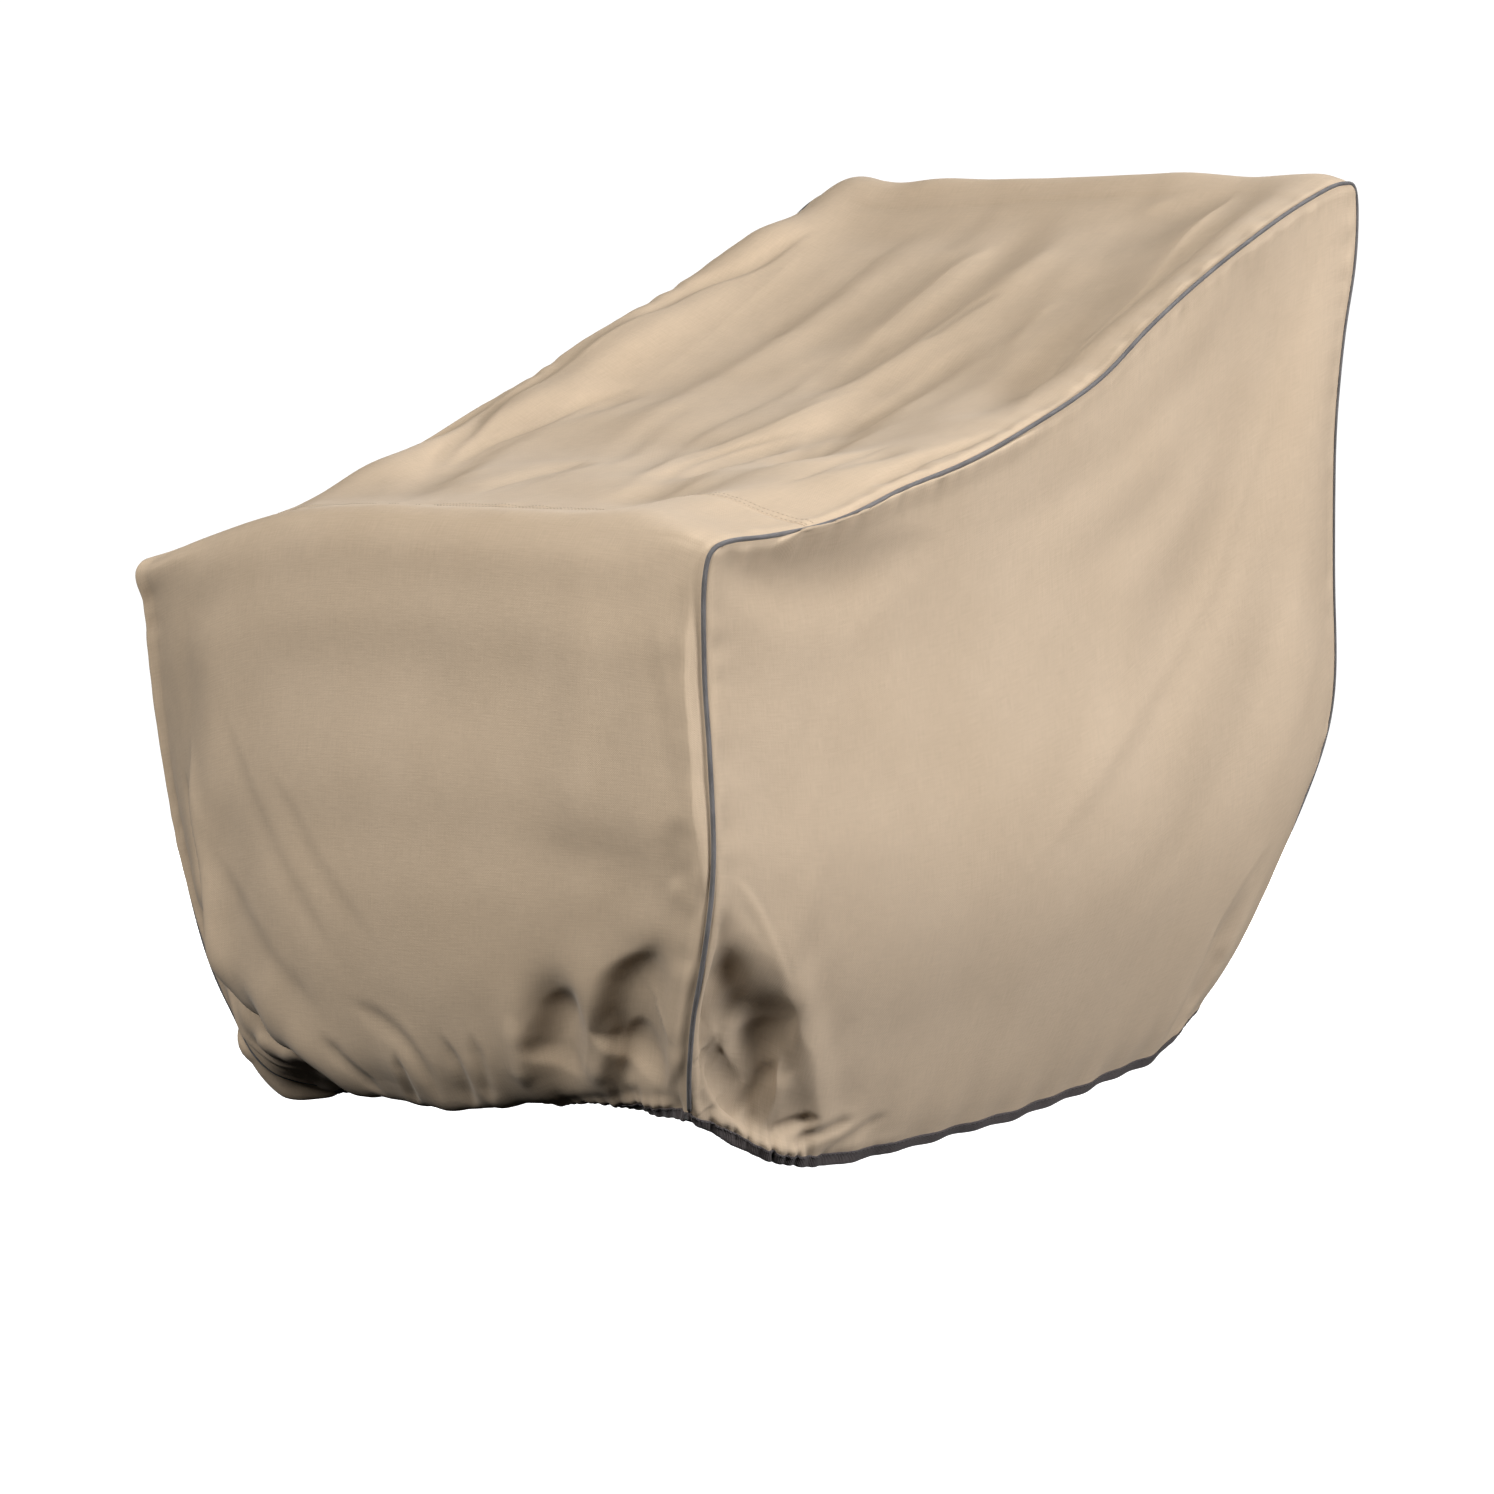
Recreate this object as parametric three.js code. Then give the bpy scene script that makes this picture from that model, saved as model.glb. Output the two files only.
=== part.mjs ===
// Fitted outdoor cover of woven canvas, in the shape it takes when it hangs in use.
// Millimetres. While it is shaped, x runs to the right as seen from the front,
// y runs back from the front edge and z is the height above the ground.
import * as THREE from "three";

// Cloth, piping and tape
const CANVAS_THICK = 1.4;
const CORD_ACROSS = 5;
const CORD_SIDES = 6;
const TAPE_THICK = 0.8;
const TAPE_DEEP = 9;

// Gaps between the cloth and the piping or tape sewn to it
const SEWN_GAP = 0.45;
const TAPE_GAP = 0.55;
const CORD_END_GAP = 0.8;
// The last station of a cord lies at least this many times its end's distance away
const CORD_LAST = 1.2;
// How far each panel ends before the middle of a piped seam and of the cross seam
const SIDE_ROOM = CORD_ACROSS / 2 + SEWN_GAP;
const CROSS_ROOM = 0.25;

// Cells of each stretch of cloth between two seams
const FRONT_CELLS = 18;
const STRIP_CELLS = 6;
const SLOPE_CELLS = 28;
const ACROSS_CELLS = 26;

// Cells next to a seam are this much smaller than the others
const TIGHTEST = 0.75;
const LOOSENS_IN = 2;

// Room the cloth needs beside a sewn edge before a fold is at its full height
const EDGE_ROOM = 30;
// Share of its height that a fold still has at its two ends, and how fast it gains the rest
const FOLD_END = 0.25;
const FOLD_GAIN = 4;
// How sharply a turn, a pouch or a crown reaches its full size away from the side seams
const TURN_FULL = 8;
const CROWN_FULL = 5;
// How soon behind the cross seam the ridges beside the piping begin
const RIDGE_START = 8;

// The piped edge on the right, from the front hem up to the arm, back along the arm,
// up the slope and down the back to the hem again
const RIGHT_EDGE = [
  { x: 268, y: 36, z: 222, mark: "hem" },
  { x: 286, y: 18, z: 262 },
  { x: 304, y: 5, z: 306 },
  { x: 319, y: -1, z: 345 },
  { x: 329, y: -2, z: 405 },
  { x: 325, y: -1, z: 480 },
  { x: 319, y: 0, z: 535 },
  { x: 319, y: 1, z: 606 },
  { x: 321, y: 5, z: 619, mark: "corner" },
  { x: 321, y: 18, z: 625 },
  { x: 319, y: 53, z: 628 },
  { x: 318, y: 105, z: 634, mark: "seam" },
  { x: 317, y: 148, z: 643 },
  { x: 316, y: 203, z: 661 },
  { x: 314, y: 277, z: 681 },
  { x: 312, y: 345, z: 705 },
  { x: 309, y: 440, z: 746 },
  { x: 308, y: 505, z: 789 },
  { x: 305, y: 590, z: 837 },
  { x: 302, y: 713, z: 896 },
  { x: 301, y: 780, z: 919 },
  { x: 301, y: 794, z: 917, mark: "top" },
  { x: 300, y: 800, z: 903 },
  { x: 300, y: 798, z: 855 },
  { x: 300, y: 786, z: 805 },
  { x: 300, y: 773, z: 721 },
  { x: 300, y: 772, z: 604 },
  { x: 300, y: 775, z: 495 },
  { x: 296, y: 765, z: 445 },
  { x: 280, y: 724, z: 352 },
  { x: 262, y: 688, z: 286 },
  { x: 243, y: 662, z: 247, mark: "hem" },
];

// The same edge on the left, which sags at the arm and stands higher at the top
const LEFT_EDGE = [
  { x: -268, y: 157, z: 162, mark: "hem" },
  { x: -292, y: 100, z: 184 },
  { x: -304, y: 78, z: 226 },
  { x: -312, y: 58, z: 276 },
  { x: -320, y: 46, z: 330 },
  { x: -326, y: 34, z: 400 },
  { x: -328, y: 19, z: 495 },
  { x: -325, y: 8, z: 570 },
  { x: -324, y: 1, z: 590 },
  { x: -323, y: 4, z: 599, mark: "corner" },
  { x: -322, y: 18, z: 603 },
  { x: -320, y: 58, z: 615 },
  { x: -318, y: 105, z: 629, mark: "seam" },
  { x: -317, y: 159, z: 642 },
  { x: -313, y: 266, z: 685 },
  { x: -310, y: 371, z: 737 },
  { x: -308, y: 426, z: 760 },
  { x: -305, y: 529, z: 805 },
  { x: -303, y: 624, z: 850 },
  { x: -301, y: 703, z: 892 },
  { x: -300, y: 775, z: 942 },
  { x: -300, y: 790, z: 946, mark: "top" },
  { x: -300, y: 798, z: 934 },
  { x: -300, y: 796, z: 875 },
  { x: -300, y: 781, z: 790 },
  { x: -300, y: 774, z: 640 },
  { x: -300, y: 772, z: 500 },
  { x: -296, y: 762, z: 445 },
  { x: -280, y: 724, z: 355 },
  { x: -262, y: 688, z: 288 },
  { x: -243, y: 660, z: 246, mark: "hem" },
];

// The hem between the piped edges, on each side of the opening
const FRONT_HEM = [
  { x: -236, y: 142, z: 174 },
  { x: -200, y: 112, z: 191 },
  { x: -150, y: 82, z: 207 },
  { x: -90, y: 62, z: 218 },
  { x: 0, y: 52, z: 223 },
  { x: 98, y: 50, z: 222 },
  { x: 173, y: 50, z: 221 },
  { x: 235, y: 42, z: 222 },
];
const RIGHT_HEM = [
  { x: 276, y: 66, z: 204 },
  { x: 283, y: 105, z: 186 },
  { x: 287, y: 160, z: 177 },
  { x: 288, y: 260, z: 178 },
  { x: 285, y: 370, z: 182 },
  { x: 277, y: 490, z: 194 },
  { x: 270, y: 563, z: 202 },
  { x: 262, y: 620, z: 222 },
];
const BACK_HEM = [
  { x: -160, y: 668, z: 250 },
  { x: 0, y: 672, z: 252 },
  { x: 160, y: 668, z: 250 },
];
const LEFT_HEM = [
  { x: -282, y: 215, z: 160 },
  { x: -286, y: 310, z: 166 },
  { x: -282, y: 420, z: 178 },
  { x: -272, y: 540, z: 196 },
  { x: -258, y: 620, z: 222 },
];

// The cross seam that joins the front panel to the centre panel, and the front edge
const CROSS_SEAM = [
  { x: -270, y: 98, z: 641 },
  { x: -219, y: 94, z: 647 },
  { x: -120, y: 84, z: 649 },
  { x: 0, y: 80, z: 648 },
  { x: 110, y: 80, z: 646 },
  { x: 176, y: 80, z: 646 },
  { x: 206, y: 80, z: 653 },
  { x: 238, y: 82, z: 657 },
  { x: 262, y: 86, z: 653 },
  { x: 288, y: 94, z: 642 },
];
const FRONT_EDGE = [
  { x: -294, y: 0, z: 607 },
  { x: -241, y: -3, z: 622 },
  { x: -195, y: -4, z: 634 },
  { x: -151, y: -4, z: 643 },
  { x: -56, y: -4, z: 649 },
  { x: 24, y: -4, z: 647 },
  { x: 124, y: -4, z: 644 },
  { x: 195, y: -4, z: 639 },
  { x: 255, y: -3, z: 634 },
  { x: 296, y: -1, z: 628 },
];

// How far the turns over the front edge and the top edge reach in the middle
const FRONT_TURN = 26;
const TOP_TURN = 26;

// The pouch at the foot of the front: how far each level stands forward and hangs down
const POUCH = [
  { down: 0, forward: 0, drop: 0 },
  { down: 0.2, forward: 14, drop: 0 },
  { down: 0.45, forward: 30, drop: 0 },
  { down: 0.62, forward: 36, drop: 6 },
  { down: 0.76, forward: 38, drop: 17 },
  { down: 0.86, forward: 34, drop: 32 },
  { down: 0.93, forward: 22, drop: 39 },
  { down: 0.97, forward: 10, drop: 29 },
  { down: 1, forward: 0, drop: 0 },
];
// How full the pouch is across the front, forward and down
const POUCH_ACROSS = [
  { across: 0, forward: 0, drop: 0 },
  { across: 0.08, forward: 0.5, drop: 0 },
  { across: 0.2, forward: 0.85, drop: 0.1 },
  { across: 0.32, forward: 1, drop: 0.6 },
  { across: 0.42, forward: 1, drop: 0.9 },
  { across: 0.58, forward: 1, drop: 1 },
  { across: 0.65, forward: 1, drop: 0.9 },
  { across: 0.71, forward: 0.97, drop: 0.63 },
  { across: 0.77, forward: 0.88, drop: 0.44 },
  { across: 0.84, forward: 0.72, drop: 0.18 },
  { across: 0.92, forward: 0.42, drop: 0 },
  { across: 1, forward: 0, drop: 0 },
];

// How far the slope hangs under a straight line between its edges
const SLOPE_CROWN = [
  { up: 0, rise: 0 },
  { up: 0.12, rise: 4 },
  { up: 0.3, rise: -8 },
  { up: 0.6, rise: -18 },
  { up: 0.85, rise: -2 },
  { up: 1, rise: 12 },
];
// The cloth stands proud of the piping beside each edge, most on the left, as far as
// a few rows behind the top edge
const TOP_ROWS = 4;
const LEFT_RIDGE = { away: 0.08, half: 0.07, rise: 17 };
const RIGHT_RIDGE = { away: 0.06, half: 0.06, rise: 5 };

// Swells and folds of each panel. Places are shares of the panel, across from its left
// or front edge and down from its top edge, and sizes are millimetres. A ridge has a
// positive height and a trough a negative one.
const FRONT_FOLDS = [
  { path: [[0.05, 0.71], [0.19, 0.85], [0.29, 0.92], [0.36, 0.975]], half: 20, high: -27 },
  { path: [[0.09, 0.66], [0.28, 0.81], [0.39, 0.88], [0.43, 0.94]], half: 16, high: 7 },
  { path: [[0.81, 0.77], [0.81, 0.93]], half: 17, high: -15 },
  { path: [[0.82, 0.74], [0.88, 0.83]], half: 10, high: 6 },
  { path: [[0.94, 0.73], [0.92, 0.95]], half: 14, high: -13 },
  { path: [[0.975, 0.76], [0.965, 0.95]], half: 9, high: 5 },
  { path: [[0.5, 0.87], [0.53, 0.96]], half: 13, high: -6 },
  { path: [[0.63, 0.86], [0.62, 0.95]], half: 13, high: -5 },
  { path: [[0.86, 0.3], [0.84, 0.6]], half: 40, high: 5 },
  { path: [[0.2, 0.3], [0.16, 0.6]], half: 45, high: 6 },
];
const CENTRE_FOLDS = [
  { path: [[0.12, 0.46], [0.11, 0.35], [0.12, 0.27], [0.1, 0.2]], half: 26, high: -15 },
  { path: [[0.87, 0.45], [0.93, 0.35], [0.93, 0.23], [0.88, 0.12], [0.73, 0.03]], half: 20, high: -6 },
  { path: [[0.78, 0.25], [0.84, 0.18], [0.85, 0.13], [0.73, 0.045]], half: 18, high: -7 },
  { path: [[0.59, 0.11], [0.58, 0.046]], half: 16, high: -4 },
  { path: [[0.34, 0.18], [0.38, 0.13], [0.34, 0.065], [0.28, 0.014]], half: 20, high: -8 },
  { path: [[0.35, 0.255], [0.3, 0.175], [0.25, 0.11]], half: 17, high: -6 },
  { path: [[0.46, 0.32], [0.46, 0.28], [0.47, 0.245]], half: 17, high: -5 },
  { path: [[0.11, 0.13], [0.11, 0.09], [0.13, 0.04]], half: 15, high: -6 },
  { path: [[0.48, 0.45], [0.44, 0.41], [0.45, 0.355], [0.48, 0.32], [0.5, 0.26]], half: 22, high: -8 },
  { path: [[0.29, 0.32], [0.32, 0.28], [0.33, 0.24], [0.28, 0.155]], half: 20, high: -8 },
  { path: [[0.38, 0.44], [0.38, 0.34], [0.41, 0.25], [0.43, 0.15]], half: 22, high: 5 },
  { path: [[0.66, 0.4], [0.68, 0.28], [0.64, 0.16]], half: 26, high: 5 },
  { path: [[0.2, 0.56], [0.24, 0.78], [0.26, 0.97]], half: 30, high: -7 },
  { path: [[0.38, 0.58], [0.4, 0.8], [0.42, 0.97]], half: 28, high: 6 },
  { path: [[0.62, 0.56], [0.6, 0.78], [0.55, 0.97]], half: 34, high: -8 },
  { path: [[0.83, 0.6], [0.8, 0.92]], half: 30, high: 6 },
];
const RIGHT_FOLDS = [
  { path: [[0.84, 0.03], [0.77, 0.11], [0.68, 0.17]], half: 26, high: -5 },
  { path: [[0.9, 0.05], [0.85, 0.2], [0.75, 0.33], [0.6, 0.45]], half: 36, high: -9 },
  { path: [[0.96, 0.1], [0.93, 0.35], [0.86, 0.62]], half: 34, high: 5 },
  { path: [[0.02, 0.05], [0.1, 0.08], [0.21, 0.09]], half: 15, high: -5 },
  { path: [[0.84, 0.8], [0.86, 0.97]], half: 15, high: -8 },
  { path: [[0.03, 0.67], [0.055, 0.79]], half: 12, high: -10 },
  { path: [[0.1, 0.72], [0.065, 0.94]], half: 18, high: -15 },
  { path: [[0.06, 0.62], [0.12, 0.71], [0.15, 0.81], [0.18, 0.92]], half: 12, high: 6 },
  { path: [[0.1, 0.84], [0.06, 0.96]], half: 9, high: 5 },
  { path: [[0.24, 0.93], [0.14, 0.98]], half: 10, high: 4 },
];
const LEFT_FOLDS = [
  { path: [[0.12, 0.05], [0.17, 0.22], [0.3, 0.4]], half: 34, high: -8 },
  { path: [[0.05, 0.1], [0.08, 0.4], [0.14, 0.65]], half: 34, high: 5 },
  { path: [[0.45, 0.2], [0.5, 0.5], [0.48, 0.7]], half: 45, high: -6 },
  { path: [[0.9, 0.75], [0.88, 0.96]], half: 16, high: -8 },
  { path: [[0.16, 0.8], [0.14, 0.97]], half: 16, high: -7 },
];
const RIGHT_SWELLS = [
  { across: 0.55, down: 0.6, wide: 260, tall: 130, out: 14 },
];
const LEFT_SWELLS = [
  { across: 0.45, down: 0.55, wide: 200, tall: 120, out: 10 },
  { across: 0.88, down: 0.82, wide: 80, tall: 70, out: 16 },
];

// Small gathers that the elastic draws into the hem, each of its own depth
const GATHER_OUT = 1.9;
const GATHER_REACH = 45;
const GATHER_EVEN = 0.6;
const GATHER_UNEVEN = 0.4;
const GATHER_BEAT = 1.7;
// A gather reaches its full depth where the cells are at least this wide
const GATHER_CELL = 24;

const point = ({ x, y, z }) => new THREE.Vector3(x, y, z);
const mix = (a, b, share) => a + (b - a) * share;

// Shares from 0 to 1 that lie closer together at both ends
function spread(count) {
  const sizes = Array.from({ length: count }, (_, k) => {
    const fromStart = Math.exp(-k / LOOSENS_IN);
    const fromEnd = Math.exp(-(count - 1 - k) / LOOSENS_IN);
    return 1 - TIGHTEST * Math.max(fromStart, fromEnd);
  });
  const whole = sizes.reduce((sum, size) => sum + size, 0);
  const shares = [0];
  for (const size of sizes) shares.push(shares[shares.length - 1] + size / whole);
  shares[count] = 1;
  return shares;
}

// A smooth line through the rows of a table, with the share of its length at each mark
function smoothLine(rows) {
  const curve = new THREE.CatmullRomCurve3(rows.map(point), false, "centripetal");
  const stepsPerRow = 20;
  curve.arcLengthDivisions = (rows.length - 1) * stepsPerRow;
  const lengths = curve.getLengths();
  const whole = lengths[lengths.length - 1];
  const marks = [];
  rows.forEach((row, k) => {
    if (row.mark) marks.push(lengths[k * stepsPerRow] / whole);
  });
  return { curve, marks };
}

// Points along a piece of a smooth line, at the given shares of that piece
function along(line, from, to, shares) {
  return shares.map((share) => line.curve.getPointAt(mix(from, to, share)));
}

// The value that a column of a table has between its rows
function lookUp(rows, key, column, at) {
  const next = rows.findIndex((row) => row[key] >= at);
  if (next <= 0) return rows[Math.max(next, 0)][column];
  const before = rows[next - 1];
  const after = rows[next];
  const share = (at - before[key]) / (after[key] - before[key]);
  const eased = share * share * (3 - 2 * share);
  return mix(before[column], after[column], eased);
}

// Cloth stretched between a left and a right edge, seen from outside. Guides are rows that
// the cloth has to pass through, such as the hem, and a guide's pull fades towards the next.
function stretched(left, right, across, down, guides) {
  const level = (row, share) => left[row].clone().lerp(right[row], share);
  const pulls = guides.map((guide, k) => ({
    at: down[guide.row],
    before: k > 0 ? down[guides[k - 1].row] : null,
    after: k < guides.length - 1 ? down[guides[k + 1].row] : null,
    hold: guide.hold,
    offsets: guide.points.map((p, column) => p.clone().sub(level(guide.row, across[column]))),
  }));
  const pullAt = (pull, at) => {
    const limit = at < pull.at ? pull.before : pull.after;
    if (at === pull.at) return 1;
    if (limit === null) return 0;
    const share = 1 - (at - pull.at) / (limit - pull.at);
    return share > 0 ? share ** pull.hold : 0;
  };
  return left.map((_, row) =>
    across.map((share, column) => {
      const p = level(row, share);
      for (const pull of pulls) p.addScaledVector(pull.offsets[column], pullAt(pull, down[row]));
      return p;
    }),
  );
}

// The direction out of the cloth at each point of a grid
function normalsOf(grid) {
  const lastRow = grid.length - 1;
  const lastColumn = grid[0].length - 1;
  return grid.map((cells, row) =>
    cells.map((_, column) => {
      const up = grid[Math.max(row - 1, 0)][column];
      const under = grid[Math.min(row + 1, lastRow)][column];
      const before = grid[row][Math.max(column - 1, 0)];
      const after = grid[row][Math.min(column + 1, lastColumn)];
      const acrossWay = after.clone().sub(before);
      const downWay = under.clone().sub(up);
      return downWay.cross(acrossWay).normalize();
    }),
  );
}

// Rounds the cloth where it turns over an edge, most in the middle of the panel
function roundOver(grid, turnRow, reach, across) {
  across.forEach((share, column) => {
    const radius = reach * Math.min(1, TURN_FULL * share * (1 - share));
    if (radius < 1) return;
    const corner = grid[turnRow][column].clone();
    const walk = (step) => {
      let left = radius;
      let row = turnRow;
      while (left > 0) {
        const here = grid[row][column];
        const next = grid[row + step][column];
        const far = here.distanceTo(next);
        if (far >= left) return here.clone().lerp(next, left / far);
        left -= far;
        row += step;
      }
    };
    const start = walk(-1);
    const end = walk(1);
    const moved = [];
    for (let row = 0; row < grid.length; row += 1) {
      const away = lengthBetween(grid, column, turnRow, row);
      if (Math.abs(away) >= radius) continue;
      const part = (away + radius) / (2 * radius);
      const p = start.clone().multiplyScalar((1 - part) ** 2);
      p.addScaledVector(corner, 2 * part * (1 - part));
      p.addScaledVector(end, part ** 2);
      moved.push([row, p]);
    }
    for (const [row, p] of moved) grid[row][column].copy(p);
  });
}

// Length of a column of a grid between two rows, negative upwards
function lengthBetween(grid, column, from, to) {
  const step = Math.sign(to - from);
  let sum = 0;
  for (let row = from; row !== to; row += step) {
    sum += grid[row][column].distanceTo(grid[row + step][column]);
  }
  return sum * step;
}

// The point of a grid at shares across and down
function placeOn(grid, across, down, acrossShares, downShares) {
  const cellOf = (shares, at) => {
    const next = Math.max(1, shares.findIndex((share) => share >= at));
    return [next, (at - shares[next - 1]) / (shares[next] - shares[next - 1])];
  };
  const [column, partAcross] = cellOf(acrossShares, across);
  const [row, partDown] = cellOf(downShares, down);
  const upper = grid[row - 1][column - 1].clone().lerp(grid[row - 1][column], partAcross);
  const lower = grid[row][column - 1].clone().lerp(grid[row][column], partAcross);
  return upper.lerp(lower, partDown);
}

// How free each point is to move: 0 on an edge held by a seam, 1 well away from it
function freedom(grid) {
  const ease = (mm) => {
    const share = Math.min(1, mm / EDGE_ROOM);
    return share * share * (3 - 2 * share);
  };
  const last = grid[0].length - 1;
  return grid.map((cells, row) =>
    cells.map((p, column) => {
      const side = Math.min(p.distanceTo(cells[0]), p.distanceTo(cells[last]));
      const top = Math.abs(lengthBetween(grid, column, 0, row));
      return ease(side) * ease(top);
    }),
  );
}

// Lifts soft swells and folds out of the cloth
function shape(grid, swells, folds, acrossShares, downShares, free) {
  const normals = normalsOf(grid);
  const lift = grid.map((cells) => cells.map(() => 0));
  const middle = (row) => placeOn(grid, row.across, row.down, acrossShares, downShares);
  for (const swell of swells) {
    const centre = middle(swell);
    grid.forEach((cells, row) =>
      cells.forEach((p, column) => {
        const away = p.clone().sub(centre);
        const upright = away.z / swell.tall;
        const level = Math.hypot(away.x, away.y) / swell.wide;
        lift[row][column] += swell.out * Math.exp(-(upright ** 2) - level ** 2);
      }),
    );
  }
  for (const fold of folds) {
    const stops = fold.path.map(([across, down]) =>
      placeOn(grid, across, down, acrossShares, downShares),
    );
    const path = new THREE.CatmullRomCurve3(stops);
    const steps = 40;
    const samples = path.getSpacedPoints(steps);
    grid.forEach((cells, row) =>
      cells.forEach((p, column) => {
        let nearest = Infinity;
        let at = 0;
        samples.forEach((sample, k) => {
          const away = p.distanceTo(sample);
          if (away < nearest) {
            nearest = away;
            at = k / steps;
          }
        });
        const fromEnd = Math.min(at, 1 - at);
        const taper = Math.min(1, FOLD_END + FOLD_GAIN * fromEnd);
        lift[row][column] += fold.high * taper * Math.exp(-((nearest / fold.half) ** 2));
      }),
    );
  }
  grid.forEach((cells, row) =>
    cells.forEach((p, column) => {
      p.addScaledVector(normals[row][column], lift[row][column] * free[row][column]);
    }),
  );
}

// Draws the hem into small gathers
function gather(grid, free) {
  const normals = normalsOf(grid);
  const last = grid.length - 1;
  const moves = [];
  grid.forEach((cells, row) =>
    cells.forEach((p, column) => {
      const above = Math.abs(lengthBetween(grid, column, row, last));
      const uneven = GATHER_EVEN + GATHER_UNEVEN * Math.sin(column * GATHER_BEAT);
      const side = column % 2 ? uneven : -uneven;
      const cell = p.distanceTo(cells[Math.max(column - 1, 0)]);
      const narrow = Math.min(1, (cell / GATHER_CELL) ** 2);
      const out = GATHER_OUT * side * narrow * Math.exp(-above / GATHER_REACH);
      moves.push([p, normals[row][column], out * free[row][column]]);
    }),
  );
  for (const [p, way, far] of moves) p.addScaledVector(way, far);
}

// Moves an edge point towards the inside of its panel, square to the edge
function moveIn(p, inner, before, after, far) {
  const tangent = after.clone().sub(before).normalize();
  const way = inner.clone().sub(p);
  way.addScaledVector(tangent, -way.dot(tangent)).normalize();
  return p.clone().addScaledVector(way, far);
}

// Moves the edges of a panel back from the middle of the seams that hold them
function trim(grid, sideRoom, topRoom) {
  const lastRow = grid.length - 1;
  const lastColumn = grid[0].length - 1;
  const sides = grid.map((cells, row) => {
    const above = grid[Math.max(row - 1, 0)];
    const below = grid[Math.min(row + 1, lastRow)];
    return [
      moveIn(cells[0], cells[1], above[0], below[0], sideRoom),
      moveIn(
        cells[lastColumn],
        cells[lastColumn - 1],
        above[lastColumn],
        below[lastColumn],
        sideRoom,
      ),
    ];
  });
  grid.forEach((cells, row) => {
    cells[0].copy(sides[row][0]);
    cells[lastColumn].copy(sides[row][1]);
  });
  const tops = grid[0].map((p, column) =>
    moveIn(
      p,
      grid[1][column],
      grid[0][Math.max(column - 1, 0)],
      grid[0][Math.min(column + 1, lastColumn)],
      topRoom,
    ),
  );
  tops.forEach((p, column) => grid[0][column].copy(p));
}

// Sets the row above the hem at the upper edge of the tape
function setTapeRow(grid) {
  const hem = grid[grid.length - 1];
  const above = grid[grid.length - 2];
  above.forEach((p, column) => {
    const up = p.clone().sub(hem[column]).setLength(TAPE_DEEP);
    p.copy(hem[column]).add(up);
  });
}

// A mesh of one closed solid from its corner points and its faces
function solid(name, points, faces, look) {
  const geometry = new THREE.BufferGeometry().setFromPoints(points);
  geometry.setIndex(faces.flat());
  const material = new THREE.MeshStandardMaterial(look);
  const mesh = new THREE.Mesh(geometry, material);
  mesh.name = name;
  return mesh;
}

// A sheet of cloth, half its thickness on each side of a grid
function clothSheet(name, grid, look) {
  const normals = normalsOf(grid);
  const rows = grid.length;
  const columns = grid[0].length;
  const faceOf = (side) =>
    grid.flatMap((cells, row) =>
      cells.map((p, column) =>
        p.clone().addScaledVector(normals[row][column], (side * CANVAS_THICK) / 2),
      ),
    );
  const inside = rows * columns;
  const at = (row, column) => row * columns + column;
  const faces = [];
  for (let row = 0; row < rows - 1; row += 1) {
    for (let column = 0; column < columns - 1; column += 1) {
      const a = at(row, column);
      const b = at(row + 1, column);
      const c = at(row + 1, column + 1);
      const d = at(row, column + 1);
      faces.push([a, b, c], [a, c, d]);
      faces.push([inside + a, inside + c, inside + b], [inside + a, inside + d, inside + c]);
    }
  }
  const rim = (from, to) => {
    faces.push([from, to, inside + to], [from, inside + to, inside + from]);
  };
  for (let column = 0; column < columns - 1; column += 1) {
    rim(at(0, column), at(0, column + 1));
    rim(at(rows - 1, column + 1), at(rows - 1, column));
  }
  for (let row = 0; row < rows - 1; row += 1) {
    rim(at(row + 1, 0), at(row, 0));
    rim(at(row, columns - 1), at(row + 1, columns - 1));
  }
  return solid(name, [...faceOf(1), ...faceOf(-1)], faces, look);
}

// A path that passes straight from each of its points to the next
class StationPath extends THREE.Curve {
  constructor(stations) {
    super();
    this.stations = stations;
  }

  getPoint(share) {
    const last = this.stations.length - 1;
    const cell = Math.min(Math.floor(share * last + 1e-6), last - 1);
    return this.stations[cell].clone().lerp(this.stations[cell + 1], share * last - cell);
  }

  getPointAt(share) {
    return this.getPoint(share);
  }

  getTangentAt(share) {
    const last = this.stations.length - 1;
    const here = Math.round(share * last);
    const before = this.stations[Math.max(here - 1, 0)];
    const after = this.stations[Math.min(here + 1, last)];
    return after.clone().sub(before).normalize();
  }
}

// A round cord through the points of a seam
function cord(name, stations, look) {
  const round = new THREE.Shape();
  for (let side = 0; side < CORD_SIDES; side += 1) {
    const angle = (side / CORD_SIDES) * 2 * Math.PI;
    const x = (CORD_ACROSS / 2) * Math.cos(angle);
    const y = (CORD_ACROSS / 2) * Math.sin(angle);
    if (side === 0) round.moveTo(x, y);
    else round.lineTo(x, y);
  }
  const geometry = new THREE.ExtrudeGeometry(round, {
    steps: stations.length - 1,
    bevelEnabled: false,
    extrudePath: new StationPath(stations),
  });
  const mesh = new THREE.Mesh(geometry, new THREE.MeshStandardMaterial(look));
  mesh.name = name;
  return mesh;
}

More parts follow.
